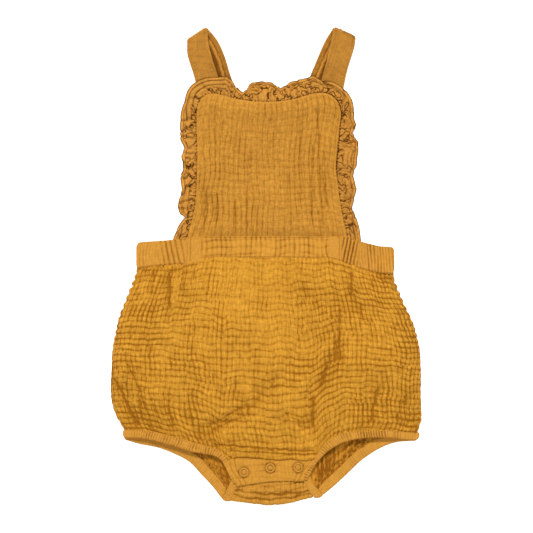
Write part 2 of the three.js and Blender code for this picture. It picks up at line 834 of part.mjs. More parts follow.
// Bib: a flat double layer over the crossing straps, with its edges lying lower
function bibEdges() {
  const side = (rows) => rows.map((row) => {
    const { from, to, fade, middle } = BIB_LOW_SIDE;
    const low = ease((row.y - from) / fade) * ease((to - row.y) / fade);
    const end = row.y < middle ? BIB_BASE.waist : BIB_BASE.corner;
    return { ...row, z: mix(end, BIB_BASE.side, low) };
  });
  return {
    left: side(BIB_LEFT),
    right: side(BIB_RIGHT),
    top: BIB_TOP.map((row) => ({ ...row, z: BIB_BASE.corner })),
    waist: [BIB_LEFT[0], BIB_RIGHT[0]].map((row) => ({ ...row, z: BIB_BASE.waist })),
  };
}

function bib() {
  const { left, right, top, waist } = bibEdges();
  const edges = { top: edge(waist), bottom: edge(top), left: edge(left), right: edge(right) };
  const outer = [];
  const inner = [];
  for (const across of shares(16)) {
    const column = shares(14).map((up) => {
      const spot = patch(edges, across, up);
      const sideRise = edgeRise(Math.min(across, 1 - across) * BIB_WIDTH);
      const endRise = ease(up / 0.06) * ease((1 - up) / 0.1);
      spot.z += BIB_CROWN * sideRise * mix(0.15, 1, endRise);
      return spot;
    });
    inner.push(column);
    outer.push(column.map((spot) => spot.clone().add(new THREE.Vector3(0, 0, BIB_THICKNESS))));
  }
  return wall("bib", outer, inner, OCHRE);
}

// Ruffle: gathered tightly at the bib's edge, its gathers joining in pairs to wide outer waves
function ruffle() {
  const { left, top, right } = bibEdges();
  const seam = track([...left, ...top.slice(1, -1), ...right.slice().reverse()]);
  const length = RUFFLE.at(-1).run;
  const outer = [];
  const inner = [];
  const quarters = RUFFLE_WAVES * 4;
  for (let i = 0; i <= quarters; i += 1) {
    const wave = Math.floor(i / 4);
    const jitter = 0.18 * Math.sin(wave * 2.4) * ((i % 4) / 4) * (1 - (i % 4) / 4) * 4;
    const share = Math.min(Math.max((i / 4 + jitter) / RUFFLE_WAVES, 0), 1);
    const run = share * length;
    const { spot, along } = seam(share);
    const ends = Math.min(run, length - run);
    const splay = RUFFLE_END_SPLAY * (1 - ease(ends / RUFFLE_END_RUN)) * (run < length / 2 ? 1 : -1);
    const outward = new THREE.Vector3(-along.y, along.x, 0).applyAxisAngle(UP, splay);
    const reach = lookup(RUFFLE, "run", run, "reach");
    const height = lookup(RUFFLE, "run", run, "height");
    const angle = (Math.PI / 2) * (i % 4);
    const seamHeight = spot.z + BIB_THICKNESS / 2;
    const column = RUFFLE_ROWS.map((out) => {
      const gather = RUFFLE_GATHER_HEIGHT * (1 - out) * (i % 2 === 1 ? 1 : -1);
      const uneven = 0.85 + 0.15 * Math.sin(wave * 1.3);
      const swell = RUFFLE_WAVE_HEIGHT * uneven * ease(out * 1.1) * Math.sin(angle);
      const point = spot.clone().addScaledVector(outward, SEAM_GAP + reach * out);
      return point.setZ(mix(seamHeight, height, ease(out)) + gather + swell);
    });
    outer.push(column);
  }
  const half = RUFFLE_THICKNESS / 2;
  outer.forEach((column) => {
    inner.push(column.map((spot) => spot.clone().add(new THREE.Vector3(0, 0, -half))));
    column.forEach((spot) => spot.add(new THREE.Vector3(0, 0, half)));
  });
  return wall("bib_ruffle", outer, inner, OCHRE_DARK);
}

// Straps: up from under the bib, over the top fold and down to the back waistband
function strapStation(read, face) {
  const turn = THREE.MathUtils.degToRad(read.read("turn"));
  return {
    spot: read.spot.setZ(read.read("z")),
    side: new THREE.Vector3(Math.cos(turn), Math.sin(turn), 0),
    face,
    width: STRAP_WIDTH,
    thick: STRAP_THICKNESS,
  };
}

function strap(name, { front, back }) {
  const frontStations = shares(10).map((share) => strapStation(track(front)(share), UP));
  const backStations = shares(24).map((share) => strapStation(track(back)(share), DOWN));
  const { side } = frontStations.at(-1);
  const travel = new THREE.Vector3(-side.y, side.x, 0);
  const turn = fold(frontStations.at(-1), backStations[0], travel, STRAP_FOLD_RADIUS, 6);
  return ribbon(name, [...frontStations, ...turn, ...backStations], OCHRE);
}

const romper = new THREE.Group();
romper.add(
  shortsBack(),
  crotchWrap(),
  shortsFront(),
  legBinding("leg_binding_left", LEGS.left),
  legBinding("leg_binding_right", LEGS.right),
  placketFront(),
  ...SNAPS.map(snap),
  waistbandElastic(),
  waistbandFront(),
  ...Object.entries(STRAPS).map(([name, rows]) => strap(name, rows)),
  bib(),
  ruffle(),
);

export default romper;
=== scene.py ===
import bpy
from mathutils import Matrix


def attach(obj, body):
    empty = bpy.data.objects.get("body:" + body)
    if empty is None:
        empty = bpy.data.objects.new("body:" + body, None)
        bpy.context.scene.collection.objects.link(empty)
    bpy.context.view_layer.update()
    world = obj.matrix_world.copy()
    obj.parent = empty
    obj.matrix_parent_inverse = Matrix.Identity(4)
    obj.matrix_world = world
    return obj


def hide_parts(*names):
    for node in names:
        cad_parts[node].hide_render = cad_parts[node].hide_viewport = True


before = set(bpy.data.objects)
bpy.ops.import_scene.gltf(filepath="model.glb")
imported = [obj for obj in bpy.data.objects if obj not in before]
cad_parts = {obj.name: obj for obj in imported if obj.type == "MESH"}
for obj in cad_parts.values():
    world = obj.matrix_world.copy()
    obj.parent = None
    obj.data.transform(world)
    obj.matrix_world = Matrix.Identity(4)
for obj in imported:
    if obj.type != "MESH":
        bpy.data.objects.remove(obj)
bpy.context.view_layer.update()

import math

import bmesh
import bpy
import numpy as np
from mathutils.bvhtree import BVHTree

# Camera
# The garment is photographed from straight above. One pixel of the picture is 0.95 mm of cloth,
# so the lens stands as far off as makes 533 pixels 506 mm wide at the height of the cloth.
MM = 0.001
PIXEL = 0.95
PICTURE_PIXELS = 533
PICTURE_MIDDLE_X = 0.5
CLOTH_LEVEL = 6.0
LENS = 85.0
SENSOR = 36.0
picture_width = PICTURE_PIXELS * PIXEL * MM
bpy.ops.object.select_all(action="DESELECT")
camera_height = picture_width * LENS / SENSOR + CLOTH_LEVEL * MM
bpy.ops.object.camera_add(location=(PICTURE_MIDDLE_X * MM, 0, camera_height), rotation=(0, 0, 0))
camera = bpy.context.object
camera.data.lens = LENS
camera.data.sensor_width = SENSOR
camera.data.clip_start = 0.05
bpy.context.scene.camera = camera

# Shorts back
# The back panel is double gauze cotton, two thin layers caught together at points, which puffs
# and puckers once it is washed. The garment lies on it, and it shows inside the leg openings.
CLOTH = 1.6
SEAM_GAP = 0.3
TUCK = 1.2
CASING = 2.4
LOWEST = 0.02
UV_SPAN = 400.0

WAIST = np.array([
    # x, top edge, bottom edge
    [-120.3, 23.2, -1.7],
    [-107.7, 24.0, 0.2],
    [-95.8, 24.8, 1.2],
    [-79.4, 26.3, 2.6],
    [-69.6, 28.4, 5.8],
    [-60.8, 28.7, 7.8],
    [0, 28.7, 8.1],
    [59, 28.7, 7.8],
    [66, 28.7, 6.6],
    [76.8, 27.8, 2.8],
    [86.5, 24.7, -1.2],
    [97.5, 21.8, -4.2],
    [108, 19.3, -6.5],
    [119, 18.6, -7.1],
])
SIDE_FOLD_REACH = 2.6
SIDE_LEFT = [
    # x, y of the side seam
    (-124.4, -6),
    (-129.2, -18.5),
    (-134.9, -33.7),
    (-140.4, -48.9),
    (-144.2, -64.1),
    (-146.4, -79.3),
    (-147.4, -98.3),
    (-148.2, -117.3),
    (-146.3, -132.5),
    (-140.2, -147.7),
]
SIDE_RIGHT = [
    (122.4, -11),
    (125.4, -18.5),
    (131.4, -33.7),
    (138.6, -48.9),
    (143.8, -64.1),
    (146.8, -79.3),
    (147.8, -98.3),
    (147.8, -117.3),
    (148.0, -132.5),
    (148.2, -147.7),
]
LEGS = {
    "left": {
        "hand": -1,
        # hem edge x, y, binding width, height of the underside
        "front": [
            (-31.3, -206.5, 1.7, 5.5),
            (-35.1, -198.5, 3.0, 5.5),
            (-39.0, -190.0, 4.4, 5.6),
            (-43.4, -183.2, 6.0, 6.0),
            (-50.5, -179.3, 7.4, 6.6),
            (-60.0, -177.5, 8.4, 7.1),
            (-70.0, -175.8, 9.4, 7.3),
            (-80.0, -172.6, 9.2, 7.3),
            (-98.0, -167.3, 8.8, 7.2),
            (-108.5, -164.6, 8.4, 6.9),
            (-118.0, -163.1, 8.2, 6.0),
            (-127.0, -163.0, 8.0, 4.4),
            (-134.5, -163.2, 7.8, 2.7),
        ],
        "back": [
            (-134.5, -165.2, 9.4),
            (-119.7, -169.4, 9.5),
            (-103.5, -172.6, 9.6),
            (-88.3, -178.2, 9.8),
            (-73.0, -186.4, 10.0),
            (-61.8, -198.1, 10.0),
            (-50.3, -210.5, 9.6),
            (-42.3, -221.0, 9.0),
        ],
        "wrap": [
            (-42.3, -221.0, 9.0),
            (-37.4, -212.0, 8.0),
            (-33.5, -203.0, 8.0),
            (-31.5, -194.0, 8.0),
        ],
    },
    "right": {
        "hand": 1,
        "front": [
            (38.9, -203.5, 1.7, 5.5),
            (43.3, -195.0, 2.2, 5.5),
            (47.8, -187.2, 3.6, 5.6),
            (52.4, -181.6, 5.2, 6.0),
            (58.5, -175.6, 7.4, 6.6),
            (66.2, -170.4, 8.8, 7.1),
            (74.0, -166.6, 8.9, 7.3),
            (83.5, -164.1, 8.2, 7.3),
            (95.3, -162.7, 7.4, 7.2),
            (107.2, -162.3, 7.4, 6.9),
            (118.9, -162.6, 7.4, 6.0),
            (131.0, -164.3, 7.2, 4.4),
            (143.5, -165.6, 7.2, 2.7),
        ],
        "back": [
            (143.5, -166.2, 8.6),
            (124.4, -167.6, 9.2),
            (110.2, -172.6, 9.5),
            (92.1, -184.0, 9.8),
            (77.0, -198.1, 9.8),
            (64.6, -209.5, 9.6),
            (54.5, -217.8, 9.0),
        ],
        "wrap": [
            (54.5, -217.8, 9.0),
            (48.5, -210.5, 8.0),
            (43.8, -203.0, 8.0),
            (41.0, -195.0, 8.0),
        ],
    },
}
CROTCH_TURN = {"back": 0.15, "wrap": 0.3}
WRAP_BACK_Y = -214.5
WRAP_BACK_LEFT = -33.0
WRAP_BACK_RIGHT = 42.0


def ease(share):
    s = np.clip(share, 0.0, 1.0)
    return s * s * (3 - 2 * s)


def smooth_line(rows, share, dims=2):
    """Points, directions and the other columns of a smooth line through rows, at shares of its length."""
    rows = np.asarray(rows, float)
    knots = rows[:, :dims]
    padded = np.vstack([2 * knots[0] - knots[1], knots, 2 * knots[-1] - knots[-2]])
    steps = np.linspace(0, len(rows) - 1, 60 * (len(rows) - 1) + 1)
    i = np.minimum(steps.astype(int), len(rows) - 2)
    w = (steps - i)[:, None]
    p0, p1, p2, p3 = (padded[i + k] for k in range(4))
    gaps = ((p0, p1), (p1, p2), (p2, p3))
    d0, d1, d2 = (np.sqrt(np.linalg.norm(b - a, axis=1))[:, None] for a, b in gaps)
    m1 = ((p1 - p0) / d0 - (p2 - p0) / (d0 + d1) + (p2 - p1) / d1) * d1
    m2 = ((p2 - p1) / d1 - (p3 - p1) / (d1 + d2) + (p3 - p2) / d2) * d1
    line = (
        p1 * (2 * w**3 - 3 * w**2 + 1) + m1 * (w**3 - 2 * w**2 + w)
        + p2 * (3 * w**2 - 2 * w**3) + m2 * (w**3 - w**2)
    )
    run = np.concatenate([[0], np.cumsum(np.linalg.norm(np.diff(line, axis=0), axis=1))])
    at = np.interp(np.asarray(share) * run[-1], run, steps)
    points = np.stack([np.interp(at, steps, line[:, k]) for k in range(dims)], axis=1)
    slope = np.gradient(line, axis=0)
    direction = np.stack([np.interp(at, steps, slope[:, k]) for k in range(dims)], axis=1)
    direction /= np.linalg.norm(direction, axis=1)[:, None]
    others = [np.interp(at, np.arange(len(rows)), rows[:, k]) for k in range(dims, rows.shape[1])]
    return points, direction, others


def joined_line(stretches, share):
    """Points at shares of the length of several 3-D stretches that meet in corners."""
    dense = [smooth_line(rows, np.linspace(0, 1, 200), 3)[0] for rows in stretches]
    line = np.vstack([dense[0]] + [part[1:] for part in dense[1:]])
    run = np.concatenate([[0], np.cumsum(np.linalg.norm(np.diff(line, axis=0), axis=1))])
    return np.stack([np.interp(share * run[-1], run, line[:, k]) for k in range(3)], axis=1)


def hem_stations(rows, quarter_turn, share, flatten):
    """Middle points and inward directions of a binding, from its hem edge and width."""
    edge, direction, others = smooth_line(rows, share)
    inward = quarter_turn * np.stack([-direction[:, 1], direction[:, 0]], axis=1)
    level = np.stack([np.sign(inward[:, 0]), np.zeros(len(edge))], axis=1)
    inward = inward * (1 - flatten[:, None]) + level * flatten[:, None]
    inward /= np.linalg.norm(inward, axis=1)[:, None]
    width = others[0]
    return edge + inward * width[:, None] / 2, inward, width, others[1:]


def back_hem(leg, share):
    flatten = ease(1 - (1 - share) / CROTCH_TURN["back"])
    return hem_stations(leg["back"], -leg["hand"], share, flatten)


def front_hem(leg, share):
    return hem_stations(leg["front"], leg["hand"], share, np.zeros(len(share)))


def patch(top, bottom, left, right):
    """Points between four edge lines, each given at the patch's own rows or columns."""
    across = np.linspace(0, 1, len(top))[None, :, None]
    down = np.linspace(0, 1, len(left))[:, None, None]
    blend = top[None] * (1 - down) + bottom[None] * down
    blend = blend + (left[:, None] - (top[0] * (1 - down) + bottom[0] * down)) * (1 - across)
    return blend + (right[:, None] - (top[-1] * (1 - down) + bottom[-1] * down)) * across


def noise(x, y, seed):
    """Smooth noise between -1 and 1 with one cell to a unit."""
    lattice = np.random.default_rng(seed).uniform(-1, 1, (256, 256))
    i, j = np.floor(x).astype(int), np.floor(y).astype(int)
    a, b = ease(x - i), ease(y - j)
    low = lattice[i % 256, j % 256] * (1 - a) + lattice[(i + 1) % 256, j % 256] * a
    high = lattice[i % 256, (j + 1) % 256] * (1 - a) + lattice[(i + 1) % 256, (j + 1) % 256] * a
    return low * (1 - b) + high * b


def furrows(place, along, pitch, seed, sharpness=0.2, wander=0.3, reach=16.0, drift=0.3, even=0.0):
    """Depth, 0 to about 1, of narrow valleys one pitch apart that wander, deepen and fade."""
    shift = wander * noise(place / (2.6 * pitch), along / reach, seed)
    shift = shift + drift * noise(place / (7 * pitch), along / (3 * reach), seed + 1)
    phase = place / pitch + shift
    valley = np.round(phase)
    uneven = 0.5 * noise(valley * 0.731, along / (0.8 * reach), seed + 2)
    uneven = uneven + 0.35 * noise(valley * 0.377, along / (2.5 * reach), seed + 3)
    strength = 0.6 + 0.3 * even + (1 - 0.6 * even) * uneven
    aside = phase - valley
    valley_shape = 0.8 * np.exp(-((aside / sharpness) ** 2)) + 0.1 * (1 + np.cos(2 * math.pi * aside))
    return np.clip(strength, 0.04, 1.4) * valley_shape


def gauze_crinkle(u, v, upright=(4.3, 0.66), level=(6.4, 0.72), faint=0.24, even=0.65, sharpness=0.13,
                  stepped=1.0, puffy=1.0, seed=1):
    """Height of puckered double gauze above its mean, from cloth coordinates in millimetres."""
    pitch, depth = upright
    threads = furrows(u, v, pitch / 2, seed, sharpness=0.26)
    row, column = np.round(v / level[0]), np.round(u / pitch)
    sideways = 0.3 * stepped * pitch * noise(row * 0.83, u / 35, seed + 43)
    lengthwise = furrows(
        u + sideways, v, pitch, seed + 10, sharpness=sharpness, wander=0.4, reach=20, even=even)
    cell_depth = 0.95 + 0.6 * stepped * noise(row * 0.71, column * 0.67, seed + 44)
    lengthwise = lengthwise * np.clip(cell_depth, 0.5, 1.4)
    step = 0.16 * noise(column * 0.77, v / 30, seed + 40)
    crosswise = furrows(
        v + step * level[0], u, level[0], seed + 20,
        sharpness=0.11, wander=0.3, reach=11, drift=0.25, even=even)
    depth = depth * np.clip(0.9 + 0.4 * noise(u / 33, v / 27, seed + 41), 0.5, 1.3)
    level_depth = level[1] * np.clip(0.9 + 0.35 * noise(u / 37, v / 21, seed + 42), 0.5, 1.3)
    puff = puffy * (0.16 * noise(u / 4.1, v / 5.3, seed + 30) + 0.09 * noise(u / 1.3, v / 1.6, seed + 31))
    return puff - faint * threads - depth * lengthwise - level_depth * crosswise


def lay_grid(name, points, uv, pucker):
    """A grid primitive whose vertices are moved to points, with its cloth coordinates and its puckers,
    which the material paints as shade.
    """
    rows, columns = points.shape[:2]
    bpy.ops.object.select_all(action="DESELECT")
    bpy.ops.mesh.primitive_grid_add(x_subdivisions=columns - 1, y_subdivisions=rows - 1, size=1)
    sheet = bpy.context.object
    sheet.name = name
    sheet.data.name = name
    sheet.data.vertices.foreach_set("co", (points.reshape(-1, 3) * MM).astype(np.float32).ravel())
    corner = np.empty(len(sheet.data.loops), dtype=np.int32)
    sheet.data.loops.foreach_get("vertex_index", corner)
    layer = sheet.data.uv_layers[0] if sheet.data.uv_layers else sheet.data.uv_layers.new(name="UVMap")
    layer.data.foreach_set("uv", (uv.reshape(-1, 2)[corner] / UV_SPAN + 0.5).astype(np.float32).ravel())
    depth = sheet.data.attributes.new("pucker", "FLOAT", "POINT")
    depth.data.foreach_set("value", pucker.astype(np.float32).ravel())
    sheet.data.update()
    return sheet


def surface_normals(points):
    down, across = np.gradient(points, axis=0), np.gradient(points, axis=1)
    normal = np.cross(across, down)
    return normal / np.linalg.norm(normal, axis=2)[..., None]


def close_mesh(piece, merge=None):
    """Merges doubles and fills holes if asked, turns faces outwards and smooths them."""
    bpy.ops.object.select_all(action="DESELECT")
    piece.select_set(True)
    bpy.context.view_layer.objects.active = piece
    bpy.ops.object.mode_set(mode="EDIT")
    bpy.ops.mesh.select_all(action="SELECT")
    if merge:
        bpy.ops.mesh.remove_doubles(threshold=merge * MM)
        bpy.ops.mesh.select_all(action="SELECT")
        bpy.ops.mesh.fill_holes(sides=0)
        bpy.ops.mesh.select_all(action="SELECT")
    bpy.ops.mesh.normals_make_consistent(inside=False)
    bpy.ops.object.mode_set(mode="OBJECT")
    bpy.ops.object.shade_smooth()


def cloth_panel(name, points, uv, pucker, thickness, step, up=True):
    """A panel of cloth: a fine outer grid, a plainer inner one and a rim between the two."""
    normal = surface_normals(points)
    if (normal[..., 2].mean() > 0) != up:
        normal = -normal
    inner = (points - normal * np.broadcast_to(thickness, points.shape[:2])[..., None])[::step, ::step]
    outer_sheet = lay_grid(name, points, uv, pucker)
    inner_sheet = lay_grid(name + "_inner", inner, uv[::step, ::step], pucker[::step, ::step])
    bpy.ops.object.select_all(action="DESELECT")
    inner_sheet.select_set(True)
    outer_sheet.select_set(True)
    bpy.context.view_layer.objects.active = outer_sheet
    bpy.ops.object.join()
    rows, columns = points.shape[:2]
    inner_rows, inner_columns = inner.shape[:2]
    start = rows * columns

    def rim(outer_index, inner_index, count):
        for k in range(count - 1):
            fine = [outer_index(m) for m in range(k * step, (k + 1) * step + 1)]
            face = cloth.faces.new([cloth.verts[m] for m in fine + [inner_index(k + 1), inner_index(k)]])
            for loop in face.loops:
                loop[cloth_uv].uv = loop.vert.link_loops[0][cloth_uv].uv

    cloth = bmesh.new()
    cloth.from_mesh(outer_sheet.data)
    cloth.verts.ensure_lookup_table()
    cloth_uv = cloth.loops.layers.uv.active
    last_row, last_column = (inner_rows - 1) * inner_columns, inner_columns - 1
    rim(lambda m: m, lambda m: start + m, inner_columns)
    rim(lambda m: (rows - 1) * columns + m, lambda m: start + last_row + m, inner_columns)
    rim(lambda m: m * columns, lambda m: start + m * inner_columns, inner_rows)
    rim(lambda m: m * columns + columns - 1, lambda m: start + m * inner_columns + last_column, inner_rows)
    cloth.to_mesh(outer_sheet.data)
    cloth.free()
    close_mesh(outer_sheet)
    return outer_sheet


def gauze_cloth(name, peak, valley, low=-1.0, high=0.1, flecked=1.0):
    """Woven cotton, darker in its puckers as painted shade and paler on its puffs as painted light, with
    the weave's threads as relief.
    """
    material = bpy.data.materials.new(name)
    material.use_nodes = True
    nodes, links = material.node_tree.nodes, material.node_tree.links
    shader = nodes["Principled BSDF"]
    shader.inputs["Roughness"].default_value = 0.88
    shader.inputs["Specular IOR Level"].default_value = 0.08
    shader.inputs["Sheen Weight"].default_value = 0.03
    shader.inputs["Sheen Roughness"].default_value = 0.6
    shader.inputs["Sheen Tint"].default_value = (1.0, 0.75, 0.4, 1)

    # The pucker attribute picks the colour between valley and peak: painted shade in the hollows, the peak
    # colour on the puffs.
    depth = nodes.new("ShaderNodeAttribute")
    depth.attribute_name = "pucker"
    spread = nodes.new("ShaderNodeMapRange")
    spread.inputs["From Min"].default_value = low
    spread.inputs["From Max"].default_value = high
    links.new(depth.outputs["Fac"], spread.inputs["Value"])
    painted_shade_ramp = nodes.new("ShaderNodeValToRGB")
    painted_shade_ramp.color_ramp.elements[0].color = (*valley, 1)
    painted_shade_ramp.color_ramp.elements[1].color = (*peak, 1)
    middle = painted_shade_ramp.color_ramp.elements.new(0.55)
    middle.color = tuple(0.4 * a + 0.6 * b for a, b in zip(valley, peak)) + (1,)
    links.new(spread.outputs["Result"], painted_shade_ramp.inputs["Fac"])

    coordinates = nodes.new("ShaderNodeUVMap")
    cloudy = nodes.new("ShaderNodeTexNoise")
    cloudy.inputs["Scale"].default_value = 9.0
    cloudy.inputs["Detail"].default_value = 4.0
    links.new(coordinates.outputs["UV"], cloudy.inputs["Vector"])
    mottle = nodes.new("ShaderNodeMapRange")
    mottle.inputs["From Min"].default_value = 0.25
    mottle.inputs["From Max"].default_value = 0.75
    mottle.inputs["To Min"].default_value = 0.93
    mottle.inputs["To Max"].default_value = 1.06
    links.new(cloudy.outputs["Fac"], mottle.inputs["Value"])
    tone = mottle.outputs["Result"]
    for cells, strength in (((1.3, 5.0), 0.15), ((6.0, 1.5), 0.1)):
        slubs = nodes.new("ShaderNodeMapping")
        slubs.inputs["Scale"].default_value = (UV_SPAN / cells[0], UV_SPAN / cells[1], 1)
        links.new(coordinates.outputs["UV"], slubs.inputs["Vector"])
        flecks = nodes.new("ShaderNodeTexNoise")
        flecks.inputs["Scale"].default_value = 1.0
        flecks.inputs["Detail"].default_value = 1.0
        links.new(slubs.outputs["Vector"], flecks.inputs["Vector"])
        speckle = nodes.new("ShaderNodeMapRange")
        speckle.inputs["From Min"].default_value = 0.3
        speckle.inputs["From Max"].default_value = 0.7
        speckle.inputs["To Min"].default_value = 1 - strength * flecked
        speckle.inputs["To Max"].default_value = 1 + strength * flecked
        links.new(flecks.outputs["Fac"], speckle.inputs["Value"])
        combined = nodes.new("ShaderNodeMath")
        combined.operation = "MULTIPLY"
        links.new(tone, combined.inputs[0])
        links.new(speckle.outputs["Result"], combined.inputs[1])
        tone = combined.outputs["Value"]
    tinted = nodes.new("ShaderNodeVectorMath")
    tinted.operation = "SCALE"
    links.new(painted_shade_ramp.outputs["Color"], tinted.inputs[0])
    links.new(tone, tinted.inputs["Scale"])
    links.new(tinted.outputs["Vector"], shader.inputs["Base Color"])

    threads = []
    for direction in ("X", "Y"):
        wave = nodes.new("ShaderNodeTexWave")
        wave.bands_direction = direction
        wave.inputs["Scale"].default_value = UV_SPAN / 0.62 / 20
        wave.inputs["Distortion"].default_value = 1.4
        wave.inputs["Detail"].default_value = 2.0
        wave.inputs["Detail Scale"].default_value = 1.5
        links.new(coordinates.outputs["UV"], wave.inputs["Vector"])
        threads.append(wave)
    woven = nodes.new("ShaderNodeMath")
    woven.operation = "MAXIMUM"
    links.new(threads[0].outputs["Fac"], woven.inputs[0])
    links.new(threads[1].outputs["Fac"], woven.inputs[1])
    relief = nodes.new("ShaderNodeBump")
    relief.inputs["Strength"].default_value = 0.5
    relief.inputs["Distance"].default_value = 0.12 * MM
    links.new(woven.outputs["Value"], relief.inputs["Height"])
    links.new(relief.outputs["Normal"], shader.inputs["Normal"])
    return material


def dress(piece, material, slot, *nodes):
    """Gives a finished piece its cloth and hides the CAD nodes that it stands for; its slot is not used."""
    piece.data.materials.clear()
    piece.data.materials.append(material)
    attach(piece, "root")
    if nodes:
        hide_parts(*nodes)


def back_edges(rows, columns):
    leg_share = np.linspace(0, 1, 80)
    hems = {}
    for side, leg in LEGS.items():
        middle, inward, width, _ = back_hem(leg, leg_share)
        line = middle + inward * (width / 2 - TUCK)[:, None]
        line = line[line[:, 1] > WRAP_BACK_Y]
        hems[side] = np.column_stack([line, np.zeros(len(line))])
    waist = np.array([
        (WAIST[0, 0] - SIDE_FOLD_REACH, WAIST[0, 2] + TUCK, 0),
        (WAIST[-1, 0] + SIDE_FOLD_REACH, WAIST[-1, 2] + TUCK, 0),
    ])
    crotch = np.array([(WRAP_BACK_LEFT, WRAP_BACK_Y - TUCK, 0), (WRAP_BACK_RIGHT, WRAP_BACK_Y - TUCK, 0)])
    left = np.vstack([waist[:1], [(*p, 0) for p in SIDE_LEFT], hems["left"][:1]])
    right = np.vstack([waist[1:], [(*p, 0) for p in SIDE_RIGHT], hems["right"][:1]])
    across, down = np.linspace(0, 1, columns), np.linspace(0, 1, rows)
    hem_left = np.vstack([hems["left"], crotch[:1]])
    hem_right = np.vstack([crotch[1:], hems["right"][::-1]])
    return (
        joined_line([waist], across),
        joined_line([hem_left, crotch, hem_right], across),
        joined_line([left], down),
        joined_line([right], down),
    )


def side_scallops(y, across, down, width):
    """Dents of the side outline towards the middle, one at each crosswise furrow."""
    from_side = np.minimum(across, 1 - across) * width
    dents = furrows(y + 3.1 * (across > 0.5), across * 0, 6.6, 61, sharpness=0.25, reach=40, even=0.4)
    depth = (1.0 + 0.9 * noise(y / 23, across * 0, 63)) * dents * np.exp(-((from_side / 5) ** 2))
    depth = depth * ease(down / 0.05) * ease((1 - down) / 0.05)
    return depth * np.where(across < 0.5, 1, -1)


SHORTS_WIDTH = 290.0
SHORTS_LENGTH = 190.0
rows, columns = 145, 241
points = patch(*back_edges(rows, columns))
across, down = np.meshgrid(np.linspace(0, 1, columns), np.linspace(0, 1, rows))
points[..., 0] += side_scallops(points[..., 1], across, down, SHORTS_WIDTH)
u, v = (across - 0.5) * SHORTS_WIDTH, -down * SHORTS_LENGTH
crinkle = gauze_crinkle(u, v, seed=301)
side_distance = np.minimum(across, 1 - across) * SHORTS_WIDTH
points[..., 2] = 0.15 - np.minimum(crinkle, 0.1) + 1.2 * (1 - ease(side_distance / 5)) ** 2
points[..., 2] = np.maximum(points[..., 2], LOWEST)
leg_gathers = furrows(u, v, 6.2, 311, sharpness=0.3, reach=30) * np.exp(-(((1 - down) / 0.3) ** 2))
thickness = 1.6 + 1.5 * crinkle - 0.8 * leg_gathers + 0.6 * np.exp(-(((1 - down) / 0.3) ** 2))
# The colour value: painted shade in the crinkle's hollows and in the leg gathers.
pucker = 1.3 * crinkle - 0.7 * leg_gathers
shorts_back = cloth_panel(
    "shorts_back_cloth", points, np.stack([u, v], axis=2), pucker, np.maximum(thickness, 0.5), 1, up=False
)
inside_gauze = gauze_cloth("ochre_gauze_inside", (0.77, 0.34, 0.031), (0.30, 0.10, 0.005))
dress(shorts_back, inside_gauze, "gauze", "shorts_back")

# Shorts front
# The bubble front: one panel of the same gauze, gathered on the waist elastic and on the leg
# elastics, so that it puffs up between them. A few deep creases run where it was laid down.
PLACKET_TOP = [
    (-34.0, -183.4), (-28.5, -180.6), (-18, -180.2), (-8, -181), (3, -182.4), (13, -183.2),
    (24, -182), (35, -183.8), (45.0, -182.3),
]
PLACKET_BASE = 5.5
PLACKET_CORNER = 4.0
WAIST_FRONT_BASE = 3.3
FRONT_RIM = 1.9
EDGE_RISE = 30.0
CROWN = np.array([(0, 0), (0.06, 3.2), (0.15, 6), (0.35, 9), (0.6, 9), (0.8, 6), (0.93, 3.0), (1, 0)])
FOLDS = [
    # x, y, to x, to y, depth, width
    (-63.7, -160, -29.5, -144, -2.6, 7),
    (-29.5, -144, 10.5, -108, -2.4, 9),
    (67.5, -39, 70.3, -77, -2.6, 9),
    (70.3, -77, 44.7, -122, -2.8, 8),
    (44.7, -122, 41.8, -151, -2.2, 7),
    (101.7, -116, 101.7, -151, -2.2, 8),
    (27.6, -74, 27.6, -102, -1.6, 7),
    (30.4, -25, 42, -30, -2.6, 14),
    (-138, -108, -122.6, -148, -2, 8),
    (-89.3, -128, -77.9, -148, -2.2, 8),
    (-97.9, -25, -97.9, -38, -2.2, 9),
    (-121, -58, -118, -70, -1.8, 9),
    (84.6, -26, 84.6, -38, -2, 9),
    (-15.2, -28, -20, -40, 1.6, 12),
    (1.9, -92, 4, -100, 1.8, 12),
    (-52.3, -122, -48, -130, 1.6, 10),
    (13.3, -124, 16, -132, 1.6, 9),
    (88, -10, 98.8, -28, 1.4, 7),
    (-20, -168, 30, -166, -1.6, 4),
]


def fold_relief(x, y):
    """Height of the listed creases, each a soft trough or ridge along a short line."""
    trough, ridge = np.zeros_like(x), np.zeros_like(x)
    for x0, y0, x1, y1, depth, width in FOLDS:
        run = np.array([x1 - x0, y1 - y0])
        share = np.clip(((x - x0) * run[0] + (y - y0) * run[1]) / (run @ run), 0, 1)
        distance = np.hypot(x - x0 - share * run[0], y - y0 - share * run[1])
        height = depth * np.exp(-((distance / width) ** 2))
        trough, ridge = np.minimum(trough, height), np.maximum(ridge, height)
    return trough + ridge


def straight_line(rows, share):
    rows = np.asarray(rows, float)
    run = np.concatenate([[0], np.cumsum(np.linalg.norm(np.diff(rows, axis=0), axis=1))])
    return np.stack([np.interp(share * run[-1], run, rows[:, k]) for k in range(3)], axis=1)


